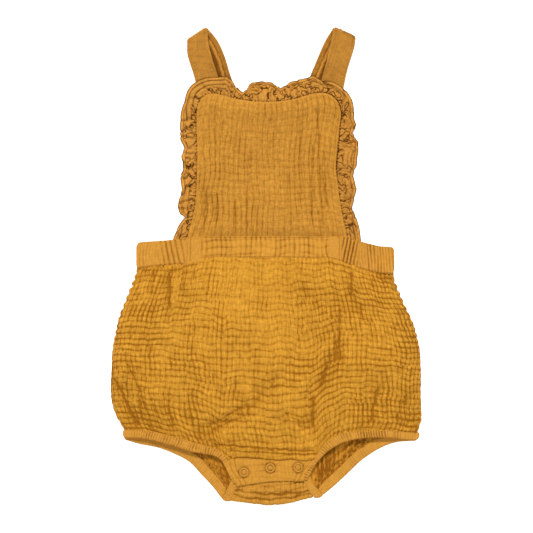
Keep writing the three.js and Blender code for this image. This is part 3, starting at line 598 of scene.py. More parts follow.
def front_edges(rows, columns):
    hems = {}
    for side, leg in LEGS.items():
        middle, inward, width, (lift,) = front_hem(leg, np.linspace(0, 1, 53))
        line = middle + inward * (width / 2 - TUCK)[:, None]
        line = np.column_stack([line, lift + SEAM_GAP])
        inner_edge = middle + inward * (width / 2 + SEAM_GAP)[:, None]
        above = inner_edge[:, 1] > PLACKET_TOP[0][1] + PLACKET_CORNER
        hems[side] = line[above]
    placket = np.array([(x, y - TUCK, PLACKET_BASE - 0.3) for x, y in PLACKET_TOP])
    waist = np.column_stack([WAIST[:, 0], WAIST[:, 2] + TUCK, np.full(len(WAIST), WAIST_FRONT_BASE + 0.3)])
    waist[[0, -1], 0] += (-SIDE_FOLD_REACH, SIDE_FOLD_REACH)
    waist[[0, -1], 2] = FRONT_RIM + 0.3
    left = np.vstack([waist[:1], [(*p, FRONT_RIM) for p in SIDE_LEFT], hems["left"][-1:]])
    right = np.vstack([waist[-1:], [(*p, FRONT_RIM) for p in SIDE_RIGHT], hems["right"][-1:]])
    across, down = np.linspace(0, 1, columns), np.linspace(0, 1, rows)
    hem_left = np.vstack([hems["left"][::-1], placket[:1]])
    hem_right = np.vstack([placket[-1:], hems["right"]])
    return (
        straight_line(waist, across),
        joined_line([hem_left, placket, hem_right], across),
        joined_line([left], down),
        joined_line([right], down),
    )


CREASES = [
    # x, y, to x, to y, depth, width: narrow valleys along single wrinkles
    (-48.5, -168.6, -15.2, -171.8, 1.7, 0.8),
    (-15.2, -171.8, 44.7, -175.6, 1.7, 0.8),
    (-34.2, -175.4, 3.8, -177.2, 1.5, 0.7),
    (3.8, -177.2, 49.4, -178.9, 1.5, 0.7),
    (-91.2, -3.0, -91.2, -39.0, 1.6, 1.0),
    (-106.4, -5.0, -106.4, -14.0, 1.3, 1.0),
    (-68.4, -2.0, -68.4, -14.0, 1.3, 1.0),
    (-77.0, -3.0, -79.0, -22.0, 1.0, 0.9),
    (-143.5, -106.0, -122.0, -150.0, 1.7, 1.2),
    (-130.0, -93.0, -121.0, -112.0, 1.4, 1.0),
    (-121.0, -112.0, -117.5, -146.0, 1.5, 1.1),
    (-119.0, -116.0, -108.0, -152.0, 1.3, 1.0),
    (-108.0, -126.0, -100.0, -154.0, 1.2, 1.0),
    (-92.0, -128.0, -88.0, -154.0, 1.2, 1.0),
    (-54.0, -150.6, -18.0, -131.6, 1.2, 0.9),
    (-50.0, -154.6, -24.0, -143.0, 1.2, 0.9),
    (-62.0, -150.0, -36.0, -146.0, 1.0, 0.9),
    (81.7, -5.2, 80.7, -27.0, 1.5, 1.0),
    (89.3, -36.6, 89.3, -56.5, 1.2, 1.0),
    (69.4, -41.3, 69.4, -87.0, 1.4, 1.1),
    (66.5, -70.0, 67.5, -88.0, 1.4, 1.0),
    (58.0, -94.5, 52.0, -111.6, 1.5, 1.2),
    (44.7, -123.0, 44.0, -150.6, 1.6, 1.2),
    (104.5, -117.0, 99.8, -144.9, 1.5, 1.1),
    (132.0, -123.0, 123.5, -145.0, 1.2, 1.0),
    (17.0, -139.2, 37.0, -148.7, 1.1, 0.9),
    (10.0, -145.0, 40.0, -153.0, 0.9, 0.9),
]


def crease_relief(x, y, rows, seed):
    """Depth of narrow valleys along short lines, which wriggle as real wrinkles do."""
    deepest = np.zeros_like(x)
    wriggled_x = x + 0.9 * noise(x / 6.0, y / 4.5, seed)
    wriggled_y = y + 0.9 * noise(x / 4.5, y / 6.0, seed + 1)
    for x0, y0, x1, y1, depth, width in rows:
        run = np.array([x1 - x0, y1 - y0])
        share = ((wriggled_x - x0) * run[0] + (wriggled_y - y0) * run[1]) / (run @ run)
        near = np.clip(share, 0, 1)
        distance = np.hypot(wriggled_x - x0 - near * run[0], wriggled_y - y0 - near * run[1])
        fading = ease(1.0 - np.abs(share - 0.5) * 1.1 + 0.35)
        narrow = 0.75 * np.exp(-((distance / width) ** 2))
        wide = 0.35 * np.exp(-((distance / (3 * width)) ** 2))
        deepest = np.maximum(deepest, depth * (narrow + wide) * fading)
    return deepest


rows, columns = 241, 369
points = patch(*front_edges(rows, columns))
across, down = np.meshgrid(np.linspace(0, 1, columns), np.linspace(0, 1, rows))
u, v = (across - 0.5) * SHORTS_WIDTH, -down * SHORTS_LENGTH
from_side = np.minimum(across, 1 - across) * SHORTS_WIDTH
rise = 1 - (1 - np.clip(from_side / EDGE_RISE, 0, 1)) ** 2
crown = np.interp(down, CROWN[:, 0], CROWN[:, 1]) * rise
free = ease(down / 0.06) * ease((1 - down) / 0.16) * ease(from_side / 12)
folds = fold_relief(points[..., 0], points[..., 1]) * free
crinkle = gauze_crinkle(u, v, seed=101)
side_zone = 0.3 + 0.7 * (1 - ease((from_side - 50) / 45))
waist_gathers = furrows(u, v, 5.2, 41, sharpness=0.3, reach=40) * side_zone * np.exp(-((down / 0.13) ** 2))
leg_gathers = furrows(u, v, 4.9, 51, sharpness=0.3, reach=9) * np.exp(-(((1 - down) / 0.075) ** 2))
leg_gathers = leg_gathers * ease((np.abs(points[..., 0] - 5) - 30) / 14)
gathers = 1.2 * waist_gathers + 1.5 * leg_gathers
calm_middle = 0.25 * np.exp(-((points[..., 0] / 62) ** 2)) * (1 - ease((down - 0.1) / 0.5))
liveliness = 0.92 + 0.35 * (1 - ease((from_side - 10) / 60)) + 0.06 * np.maximum(-folds, 0) - calm_middle
crinkle = crinkle * liveliness
creases = crease_relief(points[..., 0], points[..., 1], CREASES, 171)
gathers = gathers + 0.8 * creases
# The colour value: painted shade in the crinkle, in the gathers and, narrowly, in the creases.
pucker = 1.25 * crinkle - 0.3 * gathers - 0.12 * creases**3 + 0.05 * folds
# A painted shadow along the front's bottom edge, where it bulges over the placket.
placket_shadow_span = (points[..., 0] > -32) & (points[..., 0] < 43)
pucker = pucker - 0.9 * placket_shadow_span * np.exp(-(((1 - down) * SHORTS_LENGTH / 1.6) ** 2))
height = points[..., 2] + crown + folds + CLOTH + 0.6 + crinkle - gathers
points[..., 0] += side_scallops(points[..., 1], across, down, SHORTS_WIDTH)
curl = np.sqrt(1 - (1 - np.clip(from_side / 5.0, 0, 1)) ** 2)
points[..., 2] = 1.0 + (height - 1.0) * curl
deepest = creases
for shift in (-3, -2, -1, 1, 2, 3):
    deepest = np.maximum(deepest, np.roll(creases, shift, axis=0))
    deepest = np.maximum(deepest, np.roll(creases, shift, axis=1))
thickness = 1.2 + 1.2 * free + 0.9 * deepest
shorts_front = cloth_panel("shorts_front_cloth", points, np.stack([u, v], axis=2), pucker, thickness, 4)
gauze = gauze_cloth("ochre_gauze", (0.76, 0.355, 0.036), (0.36, 0.135, 0.006))
dress(shorts_front, gauze, "gauze", "shorts_front")

# Leg bindings
# A folded strip of gauze is sewn over each leg opening with elastic inside, from the placket
# round the thigh and across the back, and up beside the crotch. The elastic gathers it in ribs.
WRAP_TOP_BASE = 3.6
LEG_FRONT_STATIONS = 240
LEG_BACK_STATIONS = 220


def stations(middle, height, side, face, width, thick):
    count = len(middle)
    return {
        "spot": np.column_stack([middle, np.broadcast_to(height, count)]),
        "side": np.column_stack([side, np.zeros(count)]),
        "face": np.tile(np.array(face, float), (count, 1)),
        "width": np.broadcast_to(width, count).astype(float),
        "thick": np.full(count, float(thick)),
    }


def turn_over(start, finish, travel, radius, steps):
    """Stations that turn a strip over, from the end of one layer to the start of the next."""
    share = np.arange(1, steps)[:, None] / steps
    angle = math.pi * share
    face = start["face"][-1] * np.cos(angle) + np.array(travel, float) * np.sin(angle)
    first = start["spot"][-1] - start["face"][-1] * radius
    last = finish["spot"][0] - finish["face"][0] * radius
    side = start["side"][-1] * (1 - share) + finish["side"][0] * share
    width = start["width"][-1] * (1 - share) + finish["width"][0] * share
    return {
        "spot": first * (1 - share) + last * share + face * radius,
        "side": side / np.linalg.norm(side, axis=1)[:, None],
        "face": face,
        "width": width[:, 0],
        "thick": np.full(steps - 1, start["thick"][-1]),
    }


def join_stations(*parts):
    return {key: np.concatenate([part[key] for part in parts]) for key in parts[0]}


def round_corner(line, turn_from, turn_to, radius, ends=(-1,)):
    """Rounds the corners of a strip where it turns over, at its lower (-1) or upper (1) edge."""
    run = np.concatenate([[0], np.cumsum(np.linalg.norm(np.diff(line["spot"], axis=0), axis=1))])
    distance = np.maximum(np.maximum(run[turn_from] - run, run - run[turn_to]), 0)
    cut = radius * (1 - np.sqrt(1 - (1 - np.clip(distance / radius, 0, 1)) ** 2))
    for end in ends:
        line["spot"] = line["spot"] - end * line["side"] * (cut / 2)[:, None]
        line["width"] = line["width"] - cut
    return line


def strip(name, line, relief, outer=25, inner=9, rounding=1.2, both=False, shade=None):
    """A strip of cloth as a closed tube: its outer face, or both, carry relief(run, across, share)."""
    half = line["width"][:, None] / 2
    run = np.concatenate([[0], np.cumsum(np.linalg.norm(np.diff(line["spot"], axis=0), axis=1))])[:, None]
    front = np.sin(np.linspace(-0.5, 0.5, outer) * math.pi)
    back = np.sin(np.linspace(0.5, -0.5, inner) * math.pi)[1:]
    share = np.concatenate([front, back])[None, :]
    facing = np.concatenate([np.ones(outer), -np.ones(inner - 1)])[None, :]
    inset = np.clip((np.abs(share) * half - (half - rounding)) / rounding, 0, 1)
    depth = line["thick"][:, None] / 2 * np.sqrt(np.clip(1 - inset**2, 0, 1)) * facing
    pucker = relief(run, share * half, share)
    carried = facing if both else facing > 0
    lifted = depth + pucker * np.sqrt(np.clip(1 - np.abs(share) ** 6, 0, 1)) * carried
    points = (
        line["spot"][:, None] + line["side"][:, None] * (share * half)[..., None]
        + line["face"][:, None] * lifted[..., None]
    )
    points[..., 2] = np.maximum(points[..., 2], LOWEST)
    # The colour value: the relief, its hollows painted as shade, less the painted shade that shade() gives.
    painted_shading = pucker * np.ones_like(lifted) - (shade(run, share * half) if shade else 0)
    piece = lay_grid(name, points, np.stack([run * np.ones_like(lifted), share * half], axis=2), painted_shading)
    close_mesh(piece, merge=0.004)
    return piece


def grained(name, roughness, gloss, fineness, deep, pale):
    """A plain finish whose colour wavers in a fine grain between two tones."""
    material = bpy.data.materials.new(name)
    material.use_nodes = True
    nodes, links = material.node_tree.nodes, material.node_tree.links
    shader = nodes["Principled BSDF"]
    shader.inputs["Roughness"].default_value = roughness
    shader.inputs["Specular IOR Level"].default_value = gloss
    place = nodes.new("ShaderNodeTexCoord")
    grain = nodes.new("ShaderNodeTexNoise")
    grain.inputs["Scale"].default_value = fineness
    links.new(place.outputs["Object"], grain.inputs["Vector"])
    tone = nodes.new("ShaderNodeValToRGB")
    tone.color_ramp.elements[0].color = (*deep, 1)
    tone.color_ramp.elements[1].color = (*pale, 1)
    links.new(grain.outputs["Fac"], tone.inputs["Fac"])
    links.new(tone.outputs["Color"], shader.inputs["Base Color"])
    return material


thread = grained("ochre_thread", 0.7, 0.15, 700.0, (0.62, 0.28, 0.035), (0.82, 0.42, 0.075))
ABOVE_CLOTH = 50.0
STEEPEST_STITCH = 1.2
STITCH_LENGTH = 2.0
STITCH_GAP = 0.9
THREAD_RADIUS = 0.22


def stitches(name, cloth, rows, slot):
    """Threads sewn through a finished piece along rows of (x, y), as one object."""
    tree = BVHTree.FromPolygons(
        [tuple(v.co) for v in cloth.data.vertices], [tuple(p.vertices) for p in cloth.data.polygons])
    vertices, faces = [], []
    for row in rows:
        row = np.asarray(row, float)
        run = np.concatenate([[0], np.cumsum(np.hypot(*np.diff(row, axis=0).T))])
        for start in np.arange(STITCH_GAP, run[-1] - STITCH_LENGTH, STITCH_LENGTH + STITCH_GAP):
            place = start + STITCH_LENGTH * np.array([0, 0.5, 1])
            spots = np.column_stack([np.interp(place, run, row[:, 0]), np.interp(place, run, row[:, 1])])
            hits = [tree.ray_cast((x * MM, y * MM, ABOVE_CLOTH * MM), (0, 0, -1))[0] for x, y in spots]
            if None in hits or np.ptp([hit.z for hit in hits]) > STEEPEST_STITCH * MM:
                continue
            along = spots[2] - spots[0]
            side = np.array([-along[1], along[0]]) / np.hypot(*along)
            first = len(vertices)
            for spot, hit, lift, size in zip(spots, hits, (-0.05, 0.12, -0.05), (0.6, 1.0, 0.6)):
                radius = size * THREAD_RADIUS
                for angle in np.radians((45, 135, 225, 315)):
                    x, y = (spot + side * radius * math.cos(angle)) * MM
                    vertices.append((x, y, hit.z + (lift + radius * math.sin(angle)) * MM))
            for ring in (first, first + 4):
                for k in range(4):
                    after = (k + 1) % 4
                    faces.append((ring + k, ring + after, ring + 4 + after, ring + 4 + k))
            faces += [(first + 3, first + 2, first + 1, first), tuple(range(first + 8, first + 12))]
    mesh = bpy.data.meshes.new(name)
    mesh.from_pydata(vertices, [], faces)
    piece = bpy.data.objects.new(name, mesh)
    bpy.context.collection.objects.link(piece)
    close_mesh(piece)
    dress(piece, thread, slot)
    return piece


def seam_row(line, first, last, across):
    """The row of (x, y) at a share of the half width, along stations first to last of a strip."""
    aside = line["side"][first:last] * (line["width"][first:last, None] / 2 * across)
    return (line["spot"][first:last] + aside)[:, :2]


def leg_stations(leg):
    steps = np.linspace(0, 1, LEG_FRONT_STATIONS)
    middle, inward, width, (lift,) = front_hem(leg, steps)
    under = 1 - ease((middle[:, 1] + 206) / 24)
    front = stations(
        middle + inward * (1.5 * under)[:, None], lift + CASING / 2 - 0.55 * under, inward, (0, 0, 1),
        width + 3.0 * under, CASING)
    front["thick"] = CASING - 1.0 * under
    middle, inward, width, _ = back_hem(leg, np.linspace(0, 1, LEG_BACK_STATIONS))
    back = stations(middle, CASING / 2, inward, (0, 0, -1), width, CASING)
    steps = np.linspace(0, 1, 60)
    flatten = ease(1 - steps / CROTCH_TURN["wrap"])
    middle, inward, width, _ = hem_stations(leg["wrap"], leg["hand"], steps, flatten)
    wrap = stations(middle, WRAP_TOP_BASE + CLOTH - CASING / 2, inward, (0, 0, 1), width, CASING)
    side_radius = (front["spot"][-1, 2] - back["spot"][0, 2]) / 2
    crotch_radius = (wrap["spot"][0, 2] - back["spot"][-1, 2]) / 2
    side_turn = turn_over(front, back, (leg["hand"], 0, 0), side_radius, 12)
    crotch_turn = turn_over(back, wrap, (0, -1, 0), crotch_radius, 16)
    line = join_stations(front, side_turn, back, crotch_turn, wrap)
    start = len(front["width"])
    line = round_corner(line, start + 3, start + 7, 3.6)
    start = start + len(side_turn["width"]) + len(back["width"])
    return round_corner(line, start + 4, start + 10, 3.2)


def binding_relief(seed):
    def relief(run, across, share):
        ribs = furrows(run + 0.12 * across, across, 2.5, seed, sharpness=0.2, wander=0.3, reach=7)
        gathered = 0.45 + 0.55 * (1 - ease((run - 95) / 30))
        edge_line = np.exp(-(((np.abs(share) - 0.8) / 0.07) ** 2))
        return 0.12 - 0.9 * ribs * gathered - 0.25 * edge_line
    return relief


binding_gauze = gauze_cloth(
    "ochre_gauze_gathered", (0.69, 0.315, 0.044), (0.26, 0.088, 0.005), low=-0.9, flecked=0.55)
for number, (side, leg) in enumerate(LEGS.items()):
    line = leg_stations(leg)
    binding = strip(f"leg_binding_{side}_cloth", line, binding_relief(200 + 20 * number))
    dress(binding, binding_gauze, "gauze_binding", f"leg_binding_{side}")
    rows = [seam_row(line, 0, LEG_FRONT_STATIONS, share) for share in (-0.72, 0.72)]
    sewn = stitches(f"leg_binding_{side}_stitches", binding, rows, "gauze_binding")

# Crotch wrap
# The end of the back panel runs between the legs, folds up over the crotch seam and goes under
# the placket, where its snap sockets are.
CROTCH_FOLD = np.array([
    (-34, -223.4), (-22, -224.8), (-11.8, -226.4), (0.9, -227.7),
    (14.5, -226.9), (26, -224.9), (37.3, -222.3), (46, -220),
])
WRAP_SIDES = np.array([
    # step along the wrap, left edge x, right edge x
    (0, -33, 42), (1, -32.7, 43.6), (2, -32.6, 43.4), (2.5, -28.4, 38.2),
    (3, -24.8, 34.8), (3.5, -23.1, 32.4), (4, -22.6, 31.6),
])
WRAP_END_Y = -189.0
WRAP_MIDDLE_X = 5.0
radius = WRAP_TOP_BASE / 2
reach = radius + CLOTH / 2
step = np.concatenate([np.linspace(0, 1, 13), np.linspace(1, 2, 26)[1:-1], np.linspace(2, 4, 52)])
turn = np.clip(step - 1, 0, 1) * math.pi
across = np.linspace(-0.02, 1.02, 121)
left = np.interp(step, WRAP_SIDES[:, 0], WRAP_SIDES[:, 1])[:, None]
right = np.interp(step, WRAP_SIDES[:, 0], WRAP_SIDES[:, 2])[:, None]
x = left + (right - left) * across[None]
fold_y = np.interp(x, CROTCH_FOLD[:, 0], CROTCH_FOLD[:, 1]) + reach
back_y = WRAP_BACK_Y + (fold_y - WRAP_BACK_Y) * np.clip(step, 0, 1)[:, None]
front_y = fold_y + (WRAP_END_Y - fold_y) * np.clip(step - 2, 0, 2)[:, None] / 2
y = np.where(step[:, None] < 1, back_y, front_y)
cloth_u = x - WRAP_MIDDLE_X
middle_y = y[:, len(across) // 2]
cloth_v = np.concatenate([[0], np.cumsum(np.hypot(np.diff(middle_y), 0.2))])[:, None] * np.ones_like(x)
crinkle = gauze_crinkle(cloth_u, cloth_v, seed=401)
waver = 0.9 * noise(x / 5, y / 4, 421)
upper_fold = np.exp(-(((y + waver - (-216.6 + 4.5 * ((x - 8) / 38) ** 2)) / 1.0) ** 2))
lower_fold = np.exp(-(((y - waver - (-221.6 + 4.8 * ((x - 3) / 35) ** 2)) / 0.9) ** 2))
long_folds = (upper_fold + 0.8 * lower_fold) * (0.8 + 0.5 * noise(x / 9, y / 9, 422))
crinkle = crinkle * np.clip(0.8 + 0.7 * noise(x / 8, y / 6, 423), 0.2, 1.3)
crinkle = crinkle - 1.1 * long_folds * (step[:, None] > 2)
face_y, face_z = -np.sin(turn)[:, None], -np.cos(turn)[:, None]
out = radius + CLOTH / 2 + np.minimum(crinkle, 0.15)
points = np.stack([x, y + face_y * out, np.maximum(reach + face_z * out, LOWEST)], axis=2)
crotch_wrap = cloth_panel(
    "crotch_wrap_cloth", points, np.stack([cloth_u, cloth_v], axis=2), crinkle, 1.4, 4
)
crotch_gauze = gauze_cloth("ochre_gauze_crotch", (0.70, 0.32, 0.042), (0.32, 0.12, 0.007))
dress(crotch_wrap, crotch_gauze, "gauze", "crotch_wrap")

# Front placket
# A faced double strip at the bottom of the front panel. It carries the snap caps, and rows of
# stitches hold its two ends.
PLACKET_BOTTOM = [(-28.2, -209.2), (-17.3, -207.6), (0.9, -204.9), (19.1, -204.0), (36.4, -204.3)]
SNAPS = {"snap_left": (-20.9, -195.3), "snap_middle": (4.1, -191.2), "snap_right": (30.5, -190.8)}
SNAP_DIMPLES = [
    # radius of the groove round a snap, its width, its depth, which also darkens it as painted shade
    (5.6, 1.0, 0.2),
    (4.9, 0.5, 0.5),
    (2.8, 0.5, 0.4),
]
OUTER_STITCH_INSET = 4.9
INNER_STITCH_INSET = 9.4
rows, columns = 49, 113
share = np.linspace(0, 1, columns)
top = smooth_line(PLACKET_TOP, share)[0]
bottom = smooth_line(PLACKET_BOTTOM, share)[0]
down = np.linspace(0, 1, rows)[:, None, None]
flat = (top + np.array([0, 2.4]))[None] * (1 - down) + bottom[None] * down
down = down[..., 0] * np.ones((1, columns))
flare = 6.4 * (1 - ease((down - 0.4) / 0.55)) * (1 - share)[None] ** 3
flare = flare - (4.6 * (1 - ease(down / 0.75)) - 0.7 * down) * share[None] ** 3
flat[..., 0] -= flare
from_end = np.minimum(flat[..., 0] - flat[:, :1, 0], flat[:, -1:, 0] - flat[..., 0])
hem_fold = 0.45 * (1 - ease((from_end - 9.6) / 1.0))
puckers = 0.12 * furrows(flat[..., 0], flat[..., 1], 3.6, 71, reach=10) + 0.2 * furrows(
    flat[..., 1], flat[..., 0], 6.5, 72, sharpness=0.14, reach=20)
stitch_line = 0.5 * np.exp(-(((from_end - INNER_STITCH_INSET) / 0.5) ** 2))
stitch_line = stitch_line + 0.45 * np.exp(-(((from_end - OUTER_STITCH_INSET) / 0.5) ** 2))
# Grooves round each snap, also darkened in the colour as painted shade.
snap_grooves_and_shade = np.zeros_like(puckers)
for x, y in SNAPS.values():
    radius = np.hypot(flat[..., 0] - x, flat[..., 1] - y)
    for groove, groove_width, groove_depth in SNAP_DIMPLES:
        snap_grooves_and_shade = snap_grooves_and_shade + groove_depth * np.exp(-(((radius - groove) / groove_width) ** 2))
# The relief is also the colour value: its grooves and the dip along the top edge are painted shade, the dip
# standing in for the shadow under the front's edge.
pucker = hem_fold - puckers - snap_grooves_and_shade - stitch_line - 0.7 * np.exp(-(((down * 24 - 2.4) / 1.2) ** 2))
free_edge = np.minimum(from_end, (1 - down) * 22)
rounding = np.sqrt(np.clip(1 - (1 - np.clip(free_edge / 0.9, 0, 1)) ** 2, 0, 1))
height = PLACKET_BASE + 0.35 + (CLOTH - 0.15 + pucker) * rounding
points = np.dstack([flat, height])
placket = cloth_panel("placket_front_cloth", points, flat, pucker - hem_fold, 1.0, 4)
smooth_gauze = gauze_cloth(
    "ochre_gauze_pressed", (0.74, 0.34, 0.044), (0.28, 0.098, 0.005), low=-0.8, flecked=0.6)
dress(placket, smooth_gauze, "gauze_smooth", "placket_front")
end_rows = []
for inset in (OUTER_STITCH_INSET, INNER_STITCH_INSET):
    for edge, hand in ((flat[5:-4, 0], 1), (flat[5:-4, -1], -1)):
        end_rows.append(edge + np.array([hand * inset, 0]))
end_rows.append(flat[-5, 16:-16])
sewn = stitches("placket_front_stitches", placket, end_rows, "gauze_smooth")

# Snaps
# Open-ring press snaps, pressed through the placket and lacquered in the cloth's colour. A
# small dome shows in the middle of each ring.
SNAP_OUTER_RADIUS = 4.6
SNAP_INNER_RADIUS = 2.9
RING_FLATNESS = 0.45
DOME_FLATNESS = 0.32
lacquer = grained("ochre_lacquer", 0.55, 0.2, 900.0, (0.56, 0.25, 0.028), (0.66, 0.30, 0.036))


def press_flat(share):
    """Presses the primitive that was just made to a share of its height, and returns it."""
    bpy.ops.object.mode_set(mode="EDIT")
    bpy.ops.mesh.select_all(action="SELECT")
    bpy.ops.transform.resize(value=(1, 1, share))
    bpy.ops.object.mode_set(mode="OBJECT")
    return bpy.context.object


for name, (x, y) in SNAPS.items():
    bpy.ops.object.select_all(action="DESELECT")
    base = PLACKET_BASE + CLOTH + SEAM_GAP
    bpy.ops.mesh.primitive_torus_add(
        location=(x * MM, y * MM, (base + 0.05) * MM), major_segments=48, minor_segments=12,
        major_radius=(SNAP_OUTER_RADIUS + SNAP_INNER_RADIUS) / 2 * MM,
        minor_radius=(SNAP_OUTER_RADIUS - SNAP_INNER_RADIUS) / 2 * MM,
    )
    ring = press_flat(RING_FLATNESS)
    bpy.ops.mesh.primitive_uv_sphere_add(
        segments=32, ring_count=12, radius=(SNAP_INNER_RADIUS - 0.6) * MM,
        location=(x * MM, y * MM, (base - 0.25) * MM),
    )
    dome = press_flat(DOME_FLATNESS)
    bpy.ops.object.select_all(action="DESELECT")
    ring.select_set(True)
    dome.select_set(True)
    bpy.context.view_layer.objects.active = ring
    bpy.ops.object.join()
    bpy.ops.object.transform_apply(location=True, rotation=True, scale=True)
    bpy.ops.object.shade_smooth()
    ring.name = name + "_cap"
    dress(ring, lacquer, "painted_snap", name)

# Elastic waistband
# A casing with wide elastic runs from the flat front band round both sides and across the
# back. The elastic gathers it in upright ribs. Its two front ends are stitched down.
WAIST_CASING = 3.0
BAND_LEFT = -60.8
BAND_RIGHT = 59.0
BAND_FRONT_STATIONS = 130
BAND_BACK_STATIONS = 230
BAND_TURN_STEPS = 14
BAND_JOIN = 10.6
BAND_END_STITCH = 1.6
BAND_STITCH_REACH = 9.5


def waist_line(x, base, face, thick=WAIST_CASING):
    top = np.interp(x, WAIST[:, 0], WAIST[:, 1])
    bottom = np.interp(x, WAIST[:, 0], WAIST[:, 2])
    side = np.tile((0.0, 1.0), (len(x), 1))
    middle = np.column_stack([x, (top + bottom) / 2])
    return stations(middle, base + thick / 2, side, face, top - bottom, thick)


left_end, right_end = WAIST[0, 0], WAIST[-1, 0]
x = np.linspace(BAND_LEFT - SEAM_GAP, left_end, BAND_FRONT_STATIONS)
front_left = waist_line(x, WAIST_FRONT_BASE, (0, 0, 1))
x = np.linspace(right_end, BAND_RIGHT + SEAM_GAP, BAND_FRONT_STATIONS)
front_right = waist_line(x, WAIST_FRONT_BASE, (0, 0, 1))
x = np.linspace(left_end, right_end, BAND_BACK_STATIONS)
share = (x - left_end) / (right_end - left_end)
top = WAIST[0, 1] * (1 - share) + WAIST[-1, 1] * share
bottom = WAIST[0, 2] * (1 - share) + WAIST[-1, 2] * share
middle = np.column_stack([x, (top + bottom) / 2])
back_band = stations(
    middle, WAIST_CASING / 2, np.tile((0.0, 1.0), (len(x), 1)), (0, 0, -1), top - bottom, WAIST_CASING
)
lip = 3.8 * (1 - ease((BAND_LEFT - front_left["spot"][:, 0] - 16) / 2.5))
front_left["spot"][:, 1] -= lip / 2
front_left["width"] = front_left["width"] + lip
turn_radius = WAIST_FRONT_BASE / 2
left_turn = turn_over(front_left, back_band, (-1, 0, 0), turn_radius, BAND_TURN_STEPS)
right_turn = turn_over(back_band, front_right, (1, 0, 0), turn_radius, BAND_TURN_STEPS)
band_line = join_stations(front_left, left_turn, back_band, right_turn, front_right)
first_turn = BAND_FRONT_STATIONS
last_turn = first_turn + BAND_TURN_STEPS - 1 + BAND_BACK_STATIONS
band_line = round_corner(band_line, first_turn + 4, first_turn + 8, 3.0, ends=(1,))
band_line = round_corner(band_line, first_turn + 6, first_turn + 6, 1.4)
band_line = round_corner(band_line, last_turn + 4, last_turn + 8, 2.0, ends=(1, -1))


def waist_relief(run, across, share):
    ends = np.minimum(run, run[-1] - run)
    left = run < run[-1] / 2
    lean = across * 0.2 * np.sign(run - run[-1] / 2)
    wide_ribs = furrows(run + lean, across, 4.7, 81, sharpness=0.22, wander=0.2, reach=30, even=0.7)
    close_ribs = furrows(run + lean, across, 3.4, 83, sharpness=0.24, wander=0.1, reach=40, even=0.9)
    fine = furrows(run - 0.3 * lean, across, 2.9, 82, sharpness=0.2, reach=12)
    near_left = left * ease((ends - 14.5) / 3) * (1 - ease((ends - 37) / 8))
    near_right = (1 - left) * ease((ends - 12) / 2) * (1 - ease((ends - 27) / 6))
    ribs = near_left * (1.2 * wide_ribs - 0.3) + near_right * (1.3 * close_ribs - 0.35)
    seams = np.exp(-(((np.abs(share) - 0.93) / 0.03) ** 2))
    join = np.exp(-(((ends - BAND_JOIN) / 0.5) ** 2))
    quiet = 1 - 0.7 * np.maximum(near_left, near_right)
    fine_depth = 0.1 + (0.85 - 0.55 * left) * ease((ends - 11) / 3) * quiet
    return 0.15 - ribs - fine_depth * fine - 0.4 * seams - 0.6 * join


waistband = strip("waistband_elastic_cloth", band_line, waist_relief, outer=41, inner=11, rounding=1.4)
dress(waistband, binding_gauze, "gauze_binding", "waistband_elastic")
rows = [seam_row(band_line, 0, BAND_FRONT_STATIONS, share) for share in (-0.86, 0.86)]
rows += [seam_row(band_line, -BAND_FRONT_STATIONS, None, share) for share in (-0.86, 0.86)]
left_spots = band_line["spot"][:BAND_FRONT_STATIONS]
right_spots = band_line["spot"][-BAND_FRONT_STATIONS:]
for spots, x in (
    (left_spots, BAND_LEFT - BAND_JOIN),
    (left_spots, BAND_LEFT - BAND_END_STITCH),
    (right_spots, BAND_RIGHT + BAND_END_STITCH),
    (right_spots, BAND_RIGHT + BAND_JOIN),
):
    middle_y = spots[np.argmin(np.abs(spots[:, 0] - x)), 1]
    rows.append([(x, middle_y - BAND_STITCH_REACH), (x, middle_y + BAND_STITCH_REACH)])
sewn = stitches("waistband_elastic_stitches", waistband, rows, "gauze_binding")

# Front waistband
# A plain double band under the bib, between the two elastic ends, with a seam along its top
# and bottom edges.
x = np.linspace(BAND_LEFT - 0.4, BAND_RIGHT + 0.4, 200)
front_band = waist_line(x, WAIST_FRONT_BASE, (0, 0, 1), thick=CASING)
front_band["spot"][:, 2] += 0.5 * np.sin(math.pi * np.linspace(0, 1, 200))


def front_band_relief(run, across, share):
    grooves = furrows(run, across, 4.6, 91, reach=14)
    level = furrows(across, run, 6.8, 92, sharpness=0.12, reach=14)
    seams = np.exp(-(((np.abs(share) - 0.9) / 0.04) ** 2))
    return 0.1 - 0.6 * grooves - 0.5 * level - 0.5 * seams


waistband_front = strip("waistband_front_cloth", front_band, front_band_relief, outer=33, inner=9)
dress(waistband_front, smooth_gauze, "gauze_smooth", "waistband_front")
rows = [seam_row(front_band, 6, -6, share) for share in (-0.84, 0.84)]
sewn = stitches("waistband_front_stitches", waistband_front, rows, "gauze_smooth")

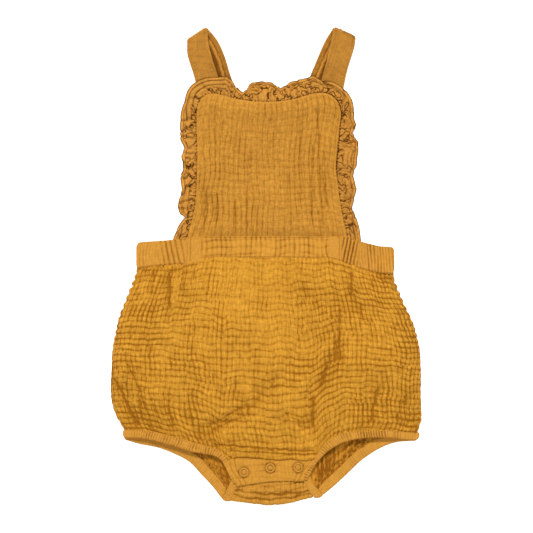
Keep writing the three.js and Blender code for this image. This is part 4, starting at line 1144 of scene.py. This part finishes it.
# Straps
# Two strips of gauze folded double and topstitched. Each rises from a corner of the bib, turns
# over at the shoulder, and crosses behind the bib to the back of the waistband.
STRAP_WIDTH = 22.0
STRAP_THICKNESS = 2.2
STRAP_FOLD_RADIUS = 1.3
STRAP_FRONT_STATIONS = 90
STRAP_BACK_STATIONS = 220
STRAPS = {
    "left": {
        "front": [
            # x, y, height, turn of the width in degrees
            (-52.8, 157, 3.7, 14),
            (-56.3, 178, 3.7, 15),
            (-61.7, 195.3, 3.7, 18),
            (-64.9, 208.5, 3.7, 26),
            (-65.3, 220.0, 3.7, 31),
        ],
        "back": [
            (-65.3, 220.0, 1.1, 31),
            (-56.9, 210.0, 1.1, 29),
            (-49.6, 195.8, 1.1, 24),
            (-44.6, 180.0, 1.1, 20),
            (-37.5, 160.0, 1.1, 21),
            (-23.8, 126.0, 1.1, 22),
            (-3.6, 76.0, 1.1, 22),
            (12.2, 38.0, 1.1, 22),
            (18.6, 22.4, 1.1, -1),
        ],
    },
    "right": {
        "front": [
            (59.2, 155, 3.7, -13),
            (64.7, 180, 3.7, -14),
            (69.9, 200, 3.7, -15),
            (73.4, 213, 3.7, -18),
            (74.6, 221.6, 3.7, -22),
        ],
        "back": [
            (74.6, 221.6, 1.1, -22),
            (67.0, 209.5, 1.1, -24),
            (57.6, 190.0, 1.1, -24),
            (45.0, 160.0, 1.1, -24),
            (30.0, 127.0, 1.1, -24),
            (16.4, 96.0, 3.65, -24),
            (1.4, 62.0, 3.65, -24),
            (-8.6, 40.0, 3.65, -23),
            (-11.6, 33.0, 1.75, -20),
            (-16.0, 22.8, 1.2, -1),
        ],
    },
}


def strap_stations(rows, steps, face):
    middle, _, (height, turn) = smooth_line(rows, np.linspace(0, 1, steps))
    side = np.column_stack([np.cos(np.radians(turn)), np.sin(np.radians(turn))])
    return stations(middle, height, side, face, STRAP_WIDTH, STRAP_THICKNESS)


# The straps get a darker copy of the same gauze, as painted shade.
shaded_strap_gauze = gauze_cloth("ochre_gauze_strap_shaded", (0.56, 0.245, 0.036), (0.17, 0.058, 0.004), flecked=0.7)


def strap_relief(seed, hand):
    def relief(run, across, share):
        wrinkles = 0.12 * noise(run / 9, across / 6, seed) + 0.22 * furrows(
            run + across * 0.4, across, 7.5, seed + 1, sharpness=0.12, reach=18)
        grain = 0.2 * furrows(across, run, 2.6, seed + 2, reach=30)
        stitched = 0.35 * np.exp(-(((np.abs(across) - 9.3) / 0.4) ** 2))
        wriggle = across * hand - 4.6 - 0.6 * noise(run / 4, across * 0, seed + 3)
        seam_ridge = 0.9 * np.exp(-((wriggle / 0.8) ** 2)) - 0.8 * np.exp(-(((wriggle - 1.7) / 0.5) ** 2))
        return 0.05 - wrinkles - grain - stitched + seam_ridge * (run > 70)
    return relief


def strap_shade(hand):
    def shade(run, across):
        inside = ease((run - 66) / 6) * ease((160 - run) / 20)
        return (0.25 + 0.75 * ease((4.2 - across * hand) / 2.5)) * inside
    return shade


for number, (side, rows) in enumerate(STRAPS.items()):
    hand = 1 if side == "left" else -1
    front = strap_stations(rows["front"], STRAP_FRONT_STATIONS, (0, 0, 1))
    back = strap_stations(rows["back"], STRAP_BACK_STATIONS, (0, 0, -1))
    front["width"] = front["width"] + 2.2 * ease((front["spot"][:, 1] - 182) / 34)
    back["width"] = back["width"] + 2.2 * ease((back["spot"][:, 1] - 186) / 32)
    stand = 2.6 * ease((front["spot"][:, 1] - 172) / 22)
    front["spot"][:, 2] += 0.7 * stand
    lean = 0.13 * stand[:, None]
    front["face"] = front["face"] * np.cos(lean) - hand * front["side"] * np.sin(lean)
    front["side"] = front["side"] * np.cos(lean) + hand * np.array([[0, 0, 1.0]]) * np.sin(lean)
    across_fold = back["side"][0]
    over = turn_over(front, back, (-across_fold[1], across_fold[0], 0), STRAP_FOLD_RADIUS, 12)
    line = join_stations(front, over, back)
    line = round_corner(line, STRAP_FRONT_STATIONS + 3, STRAP_FRONT_STATIONS + 7, 2.6, ends=(1, -1))
    strap = strip(
        f"strap_{side}_cloth", line, strap_relief(500 + 10 * number, hand),
        outer=27, inner=27, rounding=0.9, both=True, shade=strap_shade(hand))
    dress(strap, shaded_strap_gauze, "gauze_smooth", f"strap_{side}")
    rows = [seam_row(line, 0, STRAP_FRONT_STATIONS - 6, share) for share in (-0.84, 0.84)]
    sewn = stitches(f"strap_{side}_stitches", strap, rows, "gauze_smooth")

# Bib
# Two layers of gauze sewn round the edge and turned right side out, so the edge is a seam with
# no stitches showing. The crinkle runs mostly up and down.
BIB_THICKNESS = 2.0
BIB_CROWN = 2.6
BIB_WIDTH = 135.0
BIB_LENGTH = 132.0
BIB_BASE = {"waist": 4.4, "corner": 5.2, "side": 2.6}
BIB_LOW_SIDE = {"from": 29, "to": 150, "fade": 18, "middle": 90}
BIB_LEFT = [
    (-75.4, 29.2), (-71.2, 42), (-68, 56), (-66.4, 77), (-65.8, 98), (-65.9, 121), (-66.4, 137),
    (-65.2, 151), (-61.5, 160.2),
]
BIB_TOP = [
    (-61.5, 160.2), (-55, 163.8), (-48.8, 164.2), (-40.9, 162.9), (-24.7, 158.7), (0, 156.5),
    (24.7, 158.7), (38.9, 162.8), (52.2, 165.2), (61.5, 163), (68, 156.5),
]
BIB_RIGHT = [
    (77.6, 29.2), (73, 49), (70.4, 64), (68.8, 78), (66.8, 93), (67.6, 106), (70.2, 132),
    (71.4, 146), (68, 156.5),
]
BIB_CREASES = [
    # x, y, to x, to y, depth, width
    (-57.5, 72.7, -59.4, 32.8, 0.9, 0.7),
    (-45.4, 67.9, -48.0, 42.0, 0.7, 0.7),
    (-29.3, 62.3, -30.9, 34.7, 0.7, 0.7),
    (-16.6, 105.0, -18.5, 36.6, 0.6, 0.6),
    (-48.9, 151.5, -47.0, 105.0, 0.6, 0.6),
    (-40.9, 143.0, -41.5, 118.0, 0.5, 0.6),
    (48.5, 149.6, 50.8, 96.4, 0.9, 0.7),
    (50.8, 98.4, 53.7, 40.4, 1.0, 0.8),
    (44.2, 114.7, 43.2, 48.9, 0.8, 0.7),
    (55.6, 108.2, 57.5, 58.4, 0.8, 0.7),
    (31.8, 139.2, 34.7, 63.2, 0.6, 0.6),
    (20.0, 96.0, 21.0, 44.0, 0.5, 0.6),
]


def bib_side(rows):
    y = np.array(rows, float)[:, 1]
    low = ease((y - BIB_LOW_SIDE["from"]) / BIB_LOW_SIDE["fade"])
    low = low * ease((BIB_LOW_SIDE["to"] - y) / BIB_LOW_SIDE["fade"])
    end = np.where(y < BIB_LOW_SIDE["middle"], BIB_BASE["waist"], BIB_BASE["corner"])
    return np.column_stack([rows, end * (1 - low) + BIB_BASE["side"] * low])


bib_left, bib_right = bib_side(BIB_LEFT), bib_side(BIB_RIGHT)
bib_top = np.column_stack([BIB_TOP, np.full(len(BIB_TOP), BIB_BASE["corner"])])
bib_waist = np.vstack([bib_left[0], bib_right[0]])
rows, columns = 129, 233
share, rise = np.linspace(0, 1, columns), np.linspace(0, 1, rows)
points = patch(
    straight_line(bib_waist, share), joined_line([bib_top], share),
    joined_line([bib_left], rise), joined_line([bib_right], rise),
)
across, up = np.meshgrid(share, rise)
u, v = (across - 0.5) * BIB_WIDTH, up * BIB_LENGTH
from_side = np.minimum(across, 1 - across) * BIB_WIDTH
side_rise = 1 - (1 - np.clip(from_side / EDGE_RISE, 0, 1)) ** 2
end_rise = 0.15 + 0.85 * ease(up / 0.06) * ease((1 - up) / 0.1)
crinkle = gauze_crinkle(
    u, v, upright=(5.0, 0.72), level=(6.6, 0.36), faint=0.3, even=0.75,
    sharpness=0.09, stepped=0.3, puffy=0.5, seed=601)
creases = crease_relief(points[..., 0], points[..., 1], BIB_CREASES, 621)
crinkle = crinkle - 0.6 * creases
from_edge = np.minimum(from_side, (1 - up) * BIB_LENGTH)
margin = ease((from_edge - 1.2) / 2.0)
rounding = np.sqrt(np.clip(1 - (1 - np.clip(from_edge / 1.6, 0, 1)) ** 2, 0, 1))
pucker = crinkle * margin
height = points[..., 2] + BIB_CROWN * side_rise * end_rise + 1.0
height = height + (BIB_THICKNESS - 1.0 + 0.3) * rounding + pucker
points[..., 2] = height - 1.6 * (1 - ease(up / 0.05))
points[..., 1] -= 2.6 * (1 - ease(up / 0.06))
bib = cloth_panel("bib_cloth", points, np.stack([u, v], axis=2), pucker, 1.6, 4)
bib_gauze = gauze_cloth("ochre_gauze_bib", (0.67, 0.305, 0.042), (0.30, 0.11, 0.006))
dress(bib, bib_gauze, "gauze", "bib")

# Bib ruffle
# One strip of single gauze with a rolled hem, gathered tightly and sewn into the seam round
# the bib's sides and top. It flares into uneven folds that stand on edge.
RUFFLE = np.array([
    # run along the seam, reach from it, height of the hem
    (0, 14.5, 4.6), (11, 9.5, 3.8), (16, 6.5, 3.6), (20, 13.5, 3.6), (28, 16.6, 3.6), (44, 13.4, 3.6),
    (56, 15.6, 3.6), (65, 13, 3.6), (77, 15, 3.6), (85, 11.8, 3.6), (94, 15.8, 3.8), (117, 15, 4.6),
    (126, 13.4, 6.2), (134, 14.8, 7.8), (148, 16, 7.8), (156, 17.8, 7.6), (163, 12, 6.2), (174, 7, 5.4),
    (178, 13.4, 5.2), (182, 18, 4.6), (192, 20, 4), (204, 18.6, 4), (211, 12.2, 4.2), (224, 17, 5),
    (236, 16, 6.4), (244, 16.4, 7.4), (251, 11, 7.8), (263, 12.2, 7.8), (272, 13, 7.6), (284, 12.2, 5.6),
    (290, 15.6, 4.4), (298, 12.4, 3.8), (306, 19.2, 3.6), (314, 20, 3.6), (330, 19.5, 3.6),
    (342, 15.2, 3.6), (354, 17, 3.6), (363, 14, 3.6), (372, 10, 3.6), (382, 12, 3.8), (398, 14, 4.6),
])
RUFFLE_WAVES = 34
WAVE_SAMPLES = 26
HEM_ROLL = 1.3
HEM_HALF_THICKNESS = 0.62
RUFFLE_HALF_THICKNESS = 0.28
RUFFLE_MEAN_REACH = 15
RUFFLE_STRIP_WIDTH = 16
RUFFLE_GATHERING = 2.2
count = RUFFLE_WAVES * WAVE_SAMPLES + 1
share = np.linspace(0, 1, count)
seam, along, _ = smooth_line(np.vstack([bib_left, bib_top[1:-1], bib_right[::-1]]), share, 3)
along = along[:, :2] / np.linalg.norm(along[:, :2], axis=1)[:, None]
length = RUFFLE[-1, 0]
run = share * length
ends = np.minimum(run, length - run)
splay = 0.5 * (1 - ease(ends / 16)) * np.where(run < length / 2, 1, -1)
outward = np.column_stack([-along[:, 1], along[:, 0]])
outward = np.column_stack([
    outward[:, 0] * np.cos(splay) - outward[:, 1] * np.sin(splay),
    outward[:, 0] * np.sin(splay) + outward[:, 1] * np.cos(splay),
])
ruffle_reach = np.interp(run, RUFFLE[:, 0], RUFFLE[:, 1])
hem_height = np.interp(run, RUFFLE[:, 0], RUFFLE[:, 2])
out = np.concatenate([np.linspace(0, 0.86, 38), 1 - np.linspace(0.13, 0, 11)])
wave_place = share * RUFFLE_WAVES + 0.5 * noise(run / 19, run * 0, 701) + 0.2 * noise(run / 7, run * 0, 702)
o, s = np.meshgrid(out, share)
run_grid = s * length
from_seam = o * ruffle_reach[:, None]
bend = 0.5 * noise(run_grid / 21, from_seam / 8, 704) + 0.3 * noise(run_grid / 6, from_seam / 4, 705)
wave = wave_place[:, None] + bend
number, part = np.floor(wave), wave - np.floor(wave)
saw = np.where(part < 0.84, 1 - 2 * part / 0.84, -1 + 2 * ease((part - 0.84) / 0.16))
strength = 0.85 + 0.45 * noise(number * 0.613, number * 0, 703)
grown = ease(from_seam / 6)
swell = 1.5 * strength * grown * saw
from_hem = (1 - o) * ruffle_reach[:, None]
calm = ease(0.5 + 1.6 * noise(run_grid / 13, run_grid * 0, 721))
warp_run = run_grid / 3.5 + 1.0 * noise(run_grid / 4.6, from_seam / 4.2, 711)
warp_out = from_seam / 4.2 + 1.0 * noise(run_grid / 4.4, from_seam / 4.8, 712)
maze = noise(warp_run, warp_out, 713) + 0.15 * noise(warp_run * 2.1, warp_out * 1.7, 714)
rim_start = 2.6 + 0.5 * noise(run_grid / 9, run_grid * 0, 722)
inside_rim = ease((from_hem - rim_start) / 1.0)
steepness = np.hypot(
    np.gradient(maze, axis=0) / np.gradient(run_grid, axis=0),
    np.gradient(maze, axis=1) / np.gradient(from_seam, axis=1))
crevices = np.exp(-((maze / np.maximum(steepness, 0.08) / 0.5) ** 2)) * inside_rim
crevices = crevices * (1 - calm * ease((from_seam - 5.0) / 3.0))
pleat_place = run_grid + 1.5 * noise(run_grid / 5, from_seam / 3, 715)
pleats = furrows(pleat_place, from_seam, 3.2, 716, sharpness=0.24, reach=5, even=0.7)
pleats = pleats * np.exp(-((from_seam / 3.4) ** 2))
long_folds = furrows(from_hem, run_grid, 4.4, 718, sharpness=0.12, wander=0.5, reach=14) * inside_rim
long_folds = long_folds * calm * ease((from_seam - 2.5) / 2.0)
steep = np.exp(-(((part - 0.92) / 0.06) ** 2)) * grown * (1 - 0.6 * calm)
hem_groove = np.exp(-(((from_hem - rim_start) / 0.45) ** 2)) * ease((from_seam - 1.5) / 2)
seam_line = np.exp(-(((from_seam - 0.9) / 0.5) ** 2))
seam_depth = 0.5 + 0.9 * ease((run_grid - 235) / 15) * ease((350 - run_grid) / 20)
drop = 1.7 * crevices + 1.1 * pleats + 0.9 * hem_groove + 1.4 * long_folds + seam_depth * seam_line
drop = 2.0 * np.tanh(drop / 2.0)
reach = ruffle_reach[:, None] * o - 0.6 * steep * o
sway = 0.8 * grown * saw + 0.5 * noise(run_grid / 5, from_seam / 5, 717) * ease(from_seam / 3)
base = seam[:, None, :2] + outward[:, None] * (reach[..., None] - 0.5) + along[:, None] * sway[..., None]
base[..., 1] -= 3.0 * (1 - ease(ends / 7))[:, None]
seam_height = seam[:, 2:3] + BIB_THICKNESS / 2
level = seam_height * (1 - ease(o)) + hem_height[:, None] * ease(o) + 0.7 * (1 - o)
rolled = 1.1 * (1 - np.sqrt(1 - np.clip(1 - from_hem / 2.2, 0, 1) ** 2))
middle = np.dstack([base, np.maximum(level + swell - drop - rolled, 0.9)])
normal = surface_normals(middle)
if normal[..., 2].mean() < 0:
    normal = -normal
distance_to_hem = (1 - out) * RUFFLE_MEAN_REACH
half = np.where(distance_to_hem < HEM_ROLL, HEM_HALF_THICKNESS, RUFFLE_HALF_THICKNESS)[None, :, None]
upper, lower = middle + normal * half, middle - normal * half
hem_tip = middle[:, -1:] + np.dstack([outward[:, None] * 0.45, np.zeros((count, 1, 1))])
ring = np.concatenate([upper, hem_tip, lower[:, ::-2], upper[:, :1]], axis=1)
cloth_run = run[:, None] * RUFFLE_GATHERING * np.ones((1, ring.shape[1]))
ring_out = np.concatenate([out, [1.02], out[::-2], out[:1]])
cloth_out = ring_out[None, :] * RUFFLE_STRIP_WIDTH * np.ones((count, 1))
# Painted shading of the ruffle: shade in its crevices and hollows, on the steep faces of its folds and
# along the hem's outer edge, which curves down.
painted_shading = -drop - 0.6 * steep - 1.1 * ease((1.2 - from_hem) / 0.8)
# A painted highlight along the crest of the rolled hem.
painted_shading = painted_shading + 0.25 * ease(from_hem / 1.0) * ease((2.6 - from_hem) / 1.0)
# The hem's tip and the underside get more painted shade.
pucker = np.concatenate([painted_shading, painted_shading[:, -1:] - 0.3, painted_shading[:, ::-2] - 0.4, painted_shading[:, :1]], axis=1)
ruffle = lay_grid("bib_ruffle_cloth", ring, np.dstack([cloth_run, cloth_out]), pucker)
close_mesh(ruffle, merge=0.004)
ruffle_gauze = gauze_cloth(
    "ochre_gauze_ruffle", (0.74, 0.335, 0.055), (0.10, 0.030, 0.002), low=-1.3, high=0.25)
dress(ruffle, ruffle_gauze, "gauze_ruffle", "bib_ruffle")

# Floor and light
# A plain white floor with no visible edge, a large soft lamp beyond the straps, and a weaker,
# wider one above the legs.
bpy.ops.object.select_all(action="DESELECT")
bpy.ops.mesh.primitive_plane_add(size=6, location=(0, 0, -0.0004))
floor = bpy.context.object
floor.name = "floor"
white = bpy.data.materials.new("white_floor")
white.use_nodes = True
shader = white.node_tree.nodes["Principled BSDF"]
shader.inputs["Base Color"].default_value = (0.85, 0.85, 0.85, 1)
shader.inputs["Roughness"].default_value = 1.0
shader.inputs["Specular IOR Level"].default_value = 0.0
shader.inputs["Emission Color"].default_value = (1, 1, 1, 1)
shader.inputs["Emission Strength"].default_value = 0.7
floor.data.materials.append(white)


def soft_lamp(name, place, aim, size, power):
    bpy.ops.object.light_add(type="AREA", location=place)
    lamp = bpy.context.object
    lamp.name = name
    lamp.data.shape = "DISK"
    lamp.data.size = size
    lamp.data.energy = power
    direction = np.array(aim, float) - np.array(place, float)
    flat = math.hypot(direction[0], direction[1])
    heading = math.atan2(direction[1], direction[0]) - math.pi / 2
    lamp.rotation_euler = (math.atan2(flat, -direction[2]), 0, heading)


soft_lamp("key_lamp", (-0.6, 3.3, 4.0), (0, 0, 0), 1.0, 190)
soft_lamp("overhead_lamp", (0.4, -1.6, 3.6), (0, 0, 0), 1.6, 52)
world = bpy.data.worlds.new("studio")
bpy.context.scene.world = world
world.use_nodes = True
world.node_tree.nodes["Background"].inputs["Color"].default_value = (1, 1, 1, 1)
world.node_tree.nodes["Background"].inputs["Strength"].default_value = 0.22
bpy.context.scene.view_settings.view_transform = "Standard"
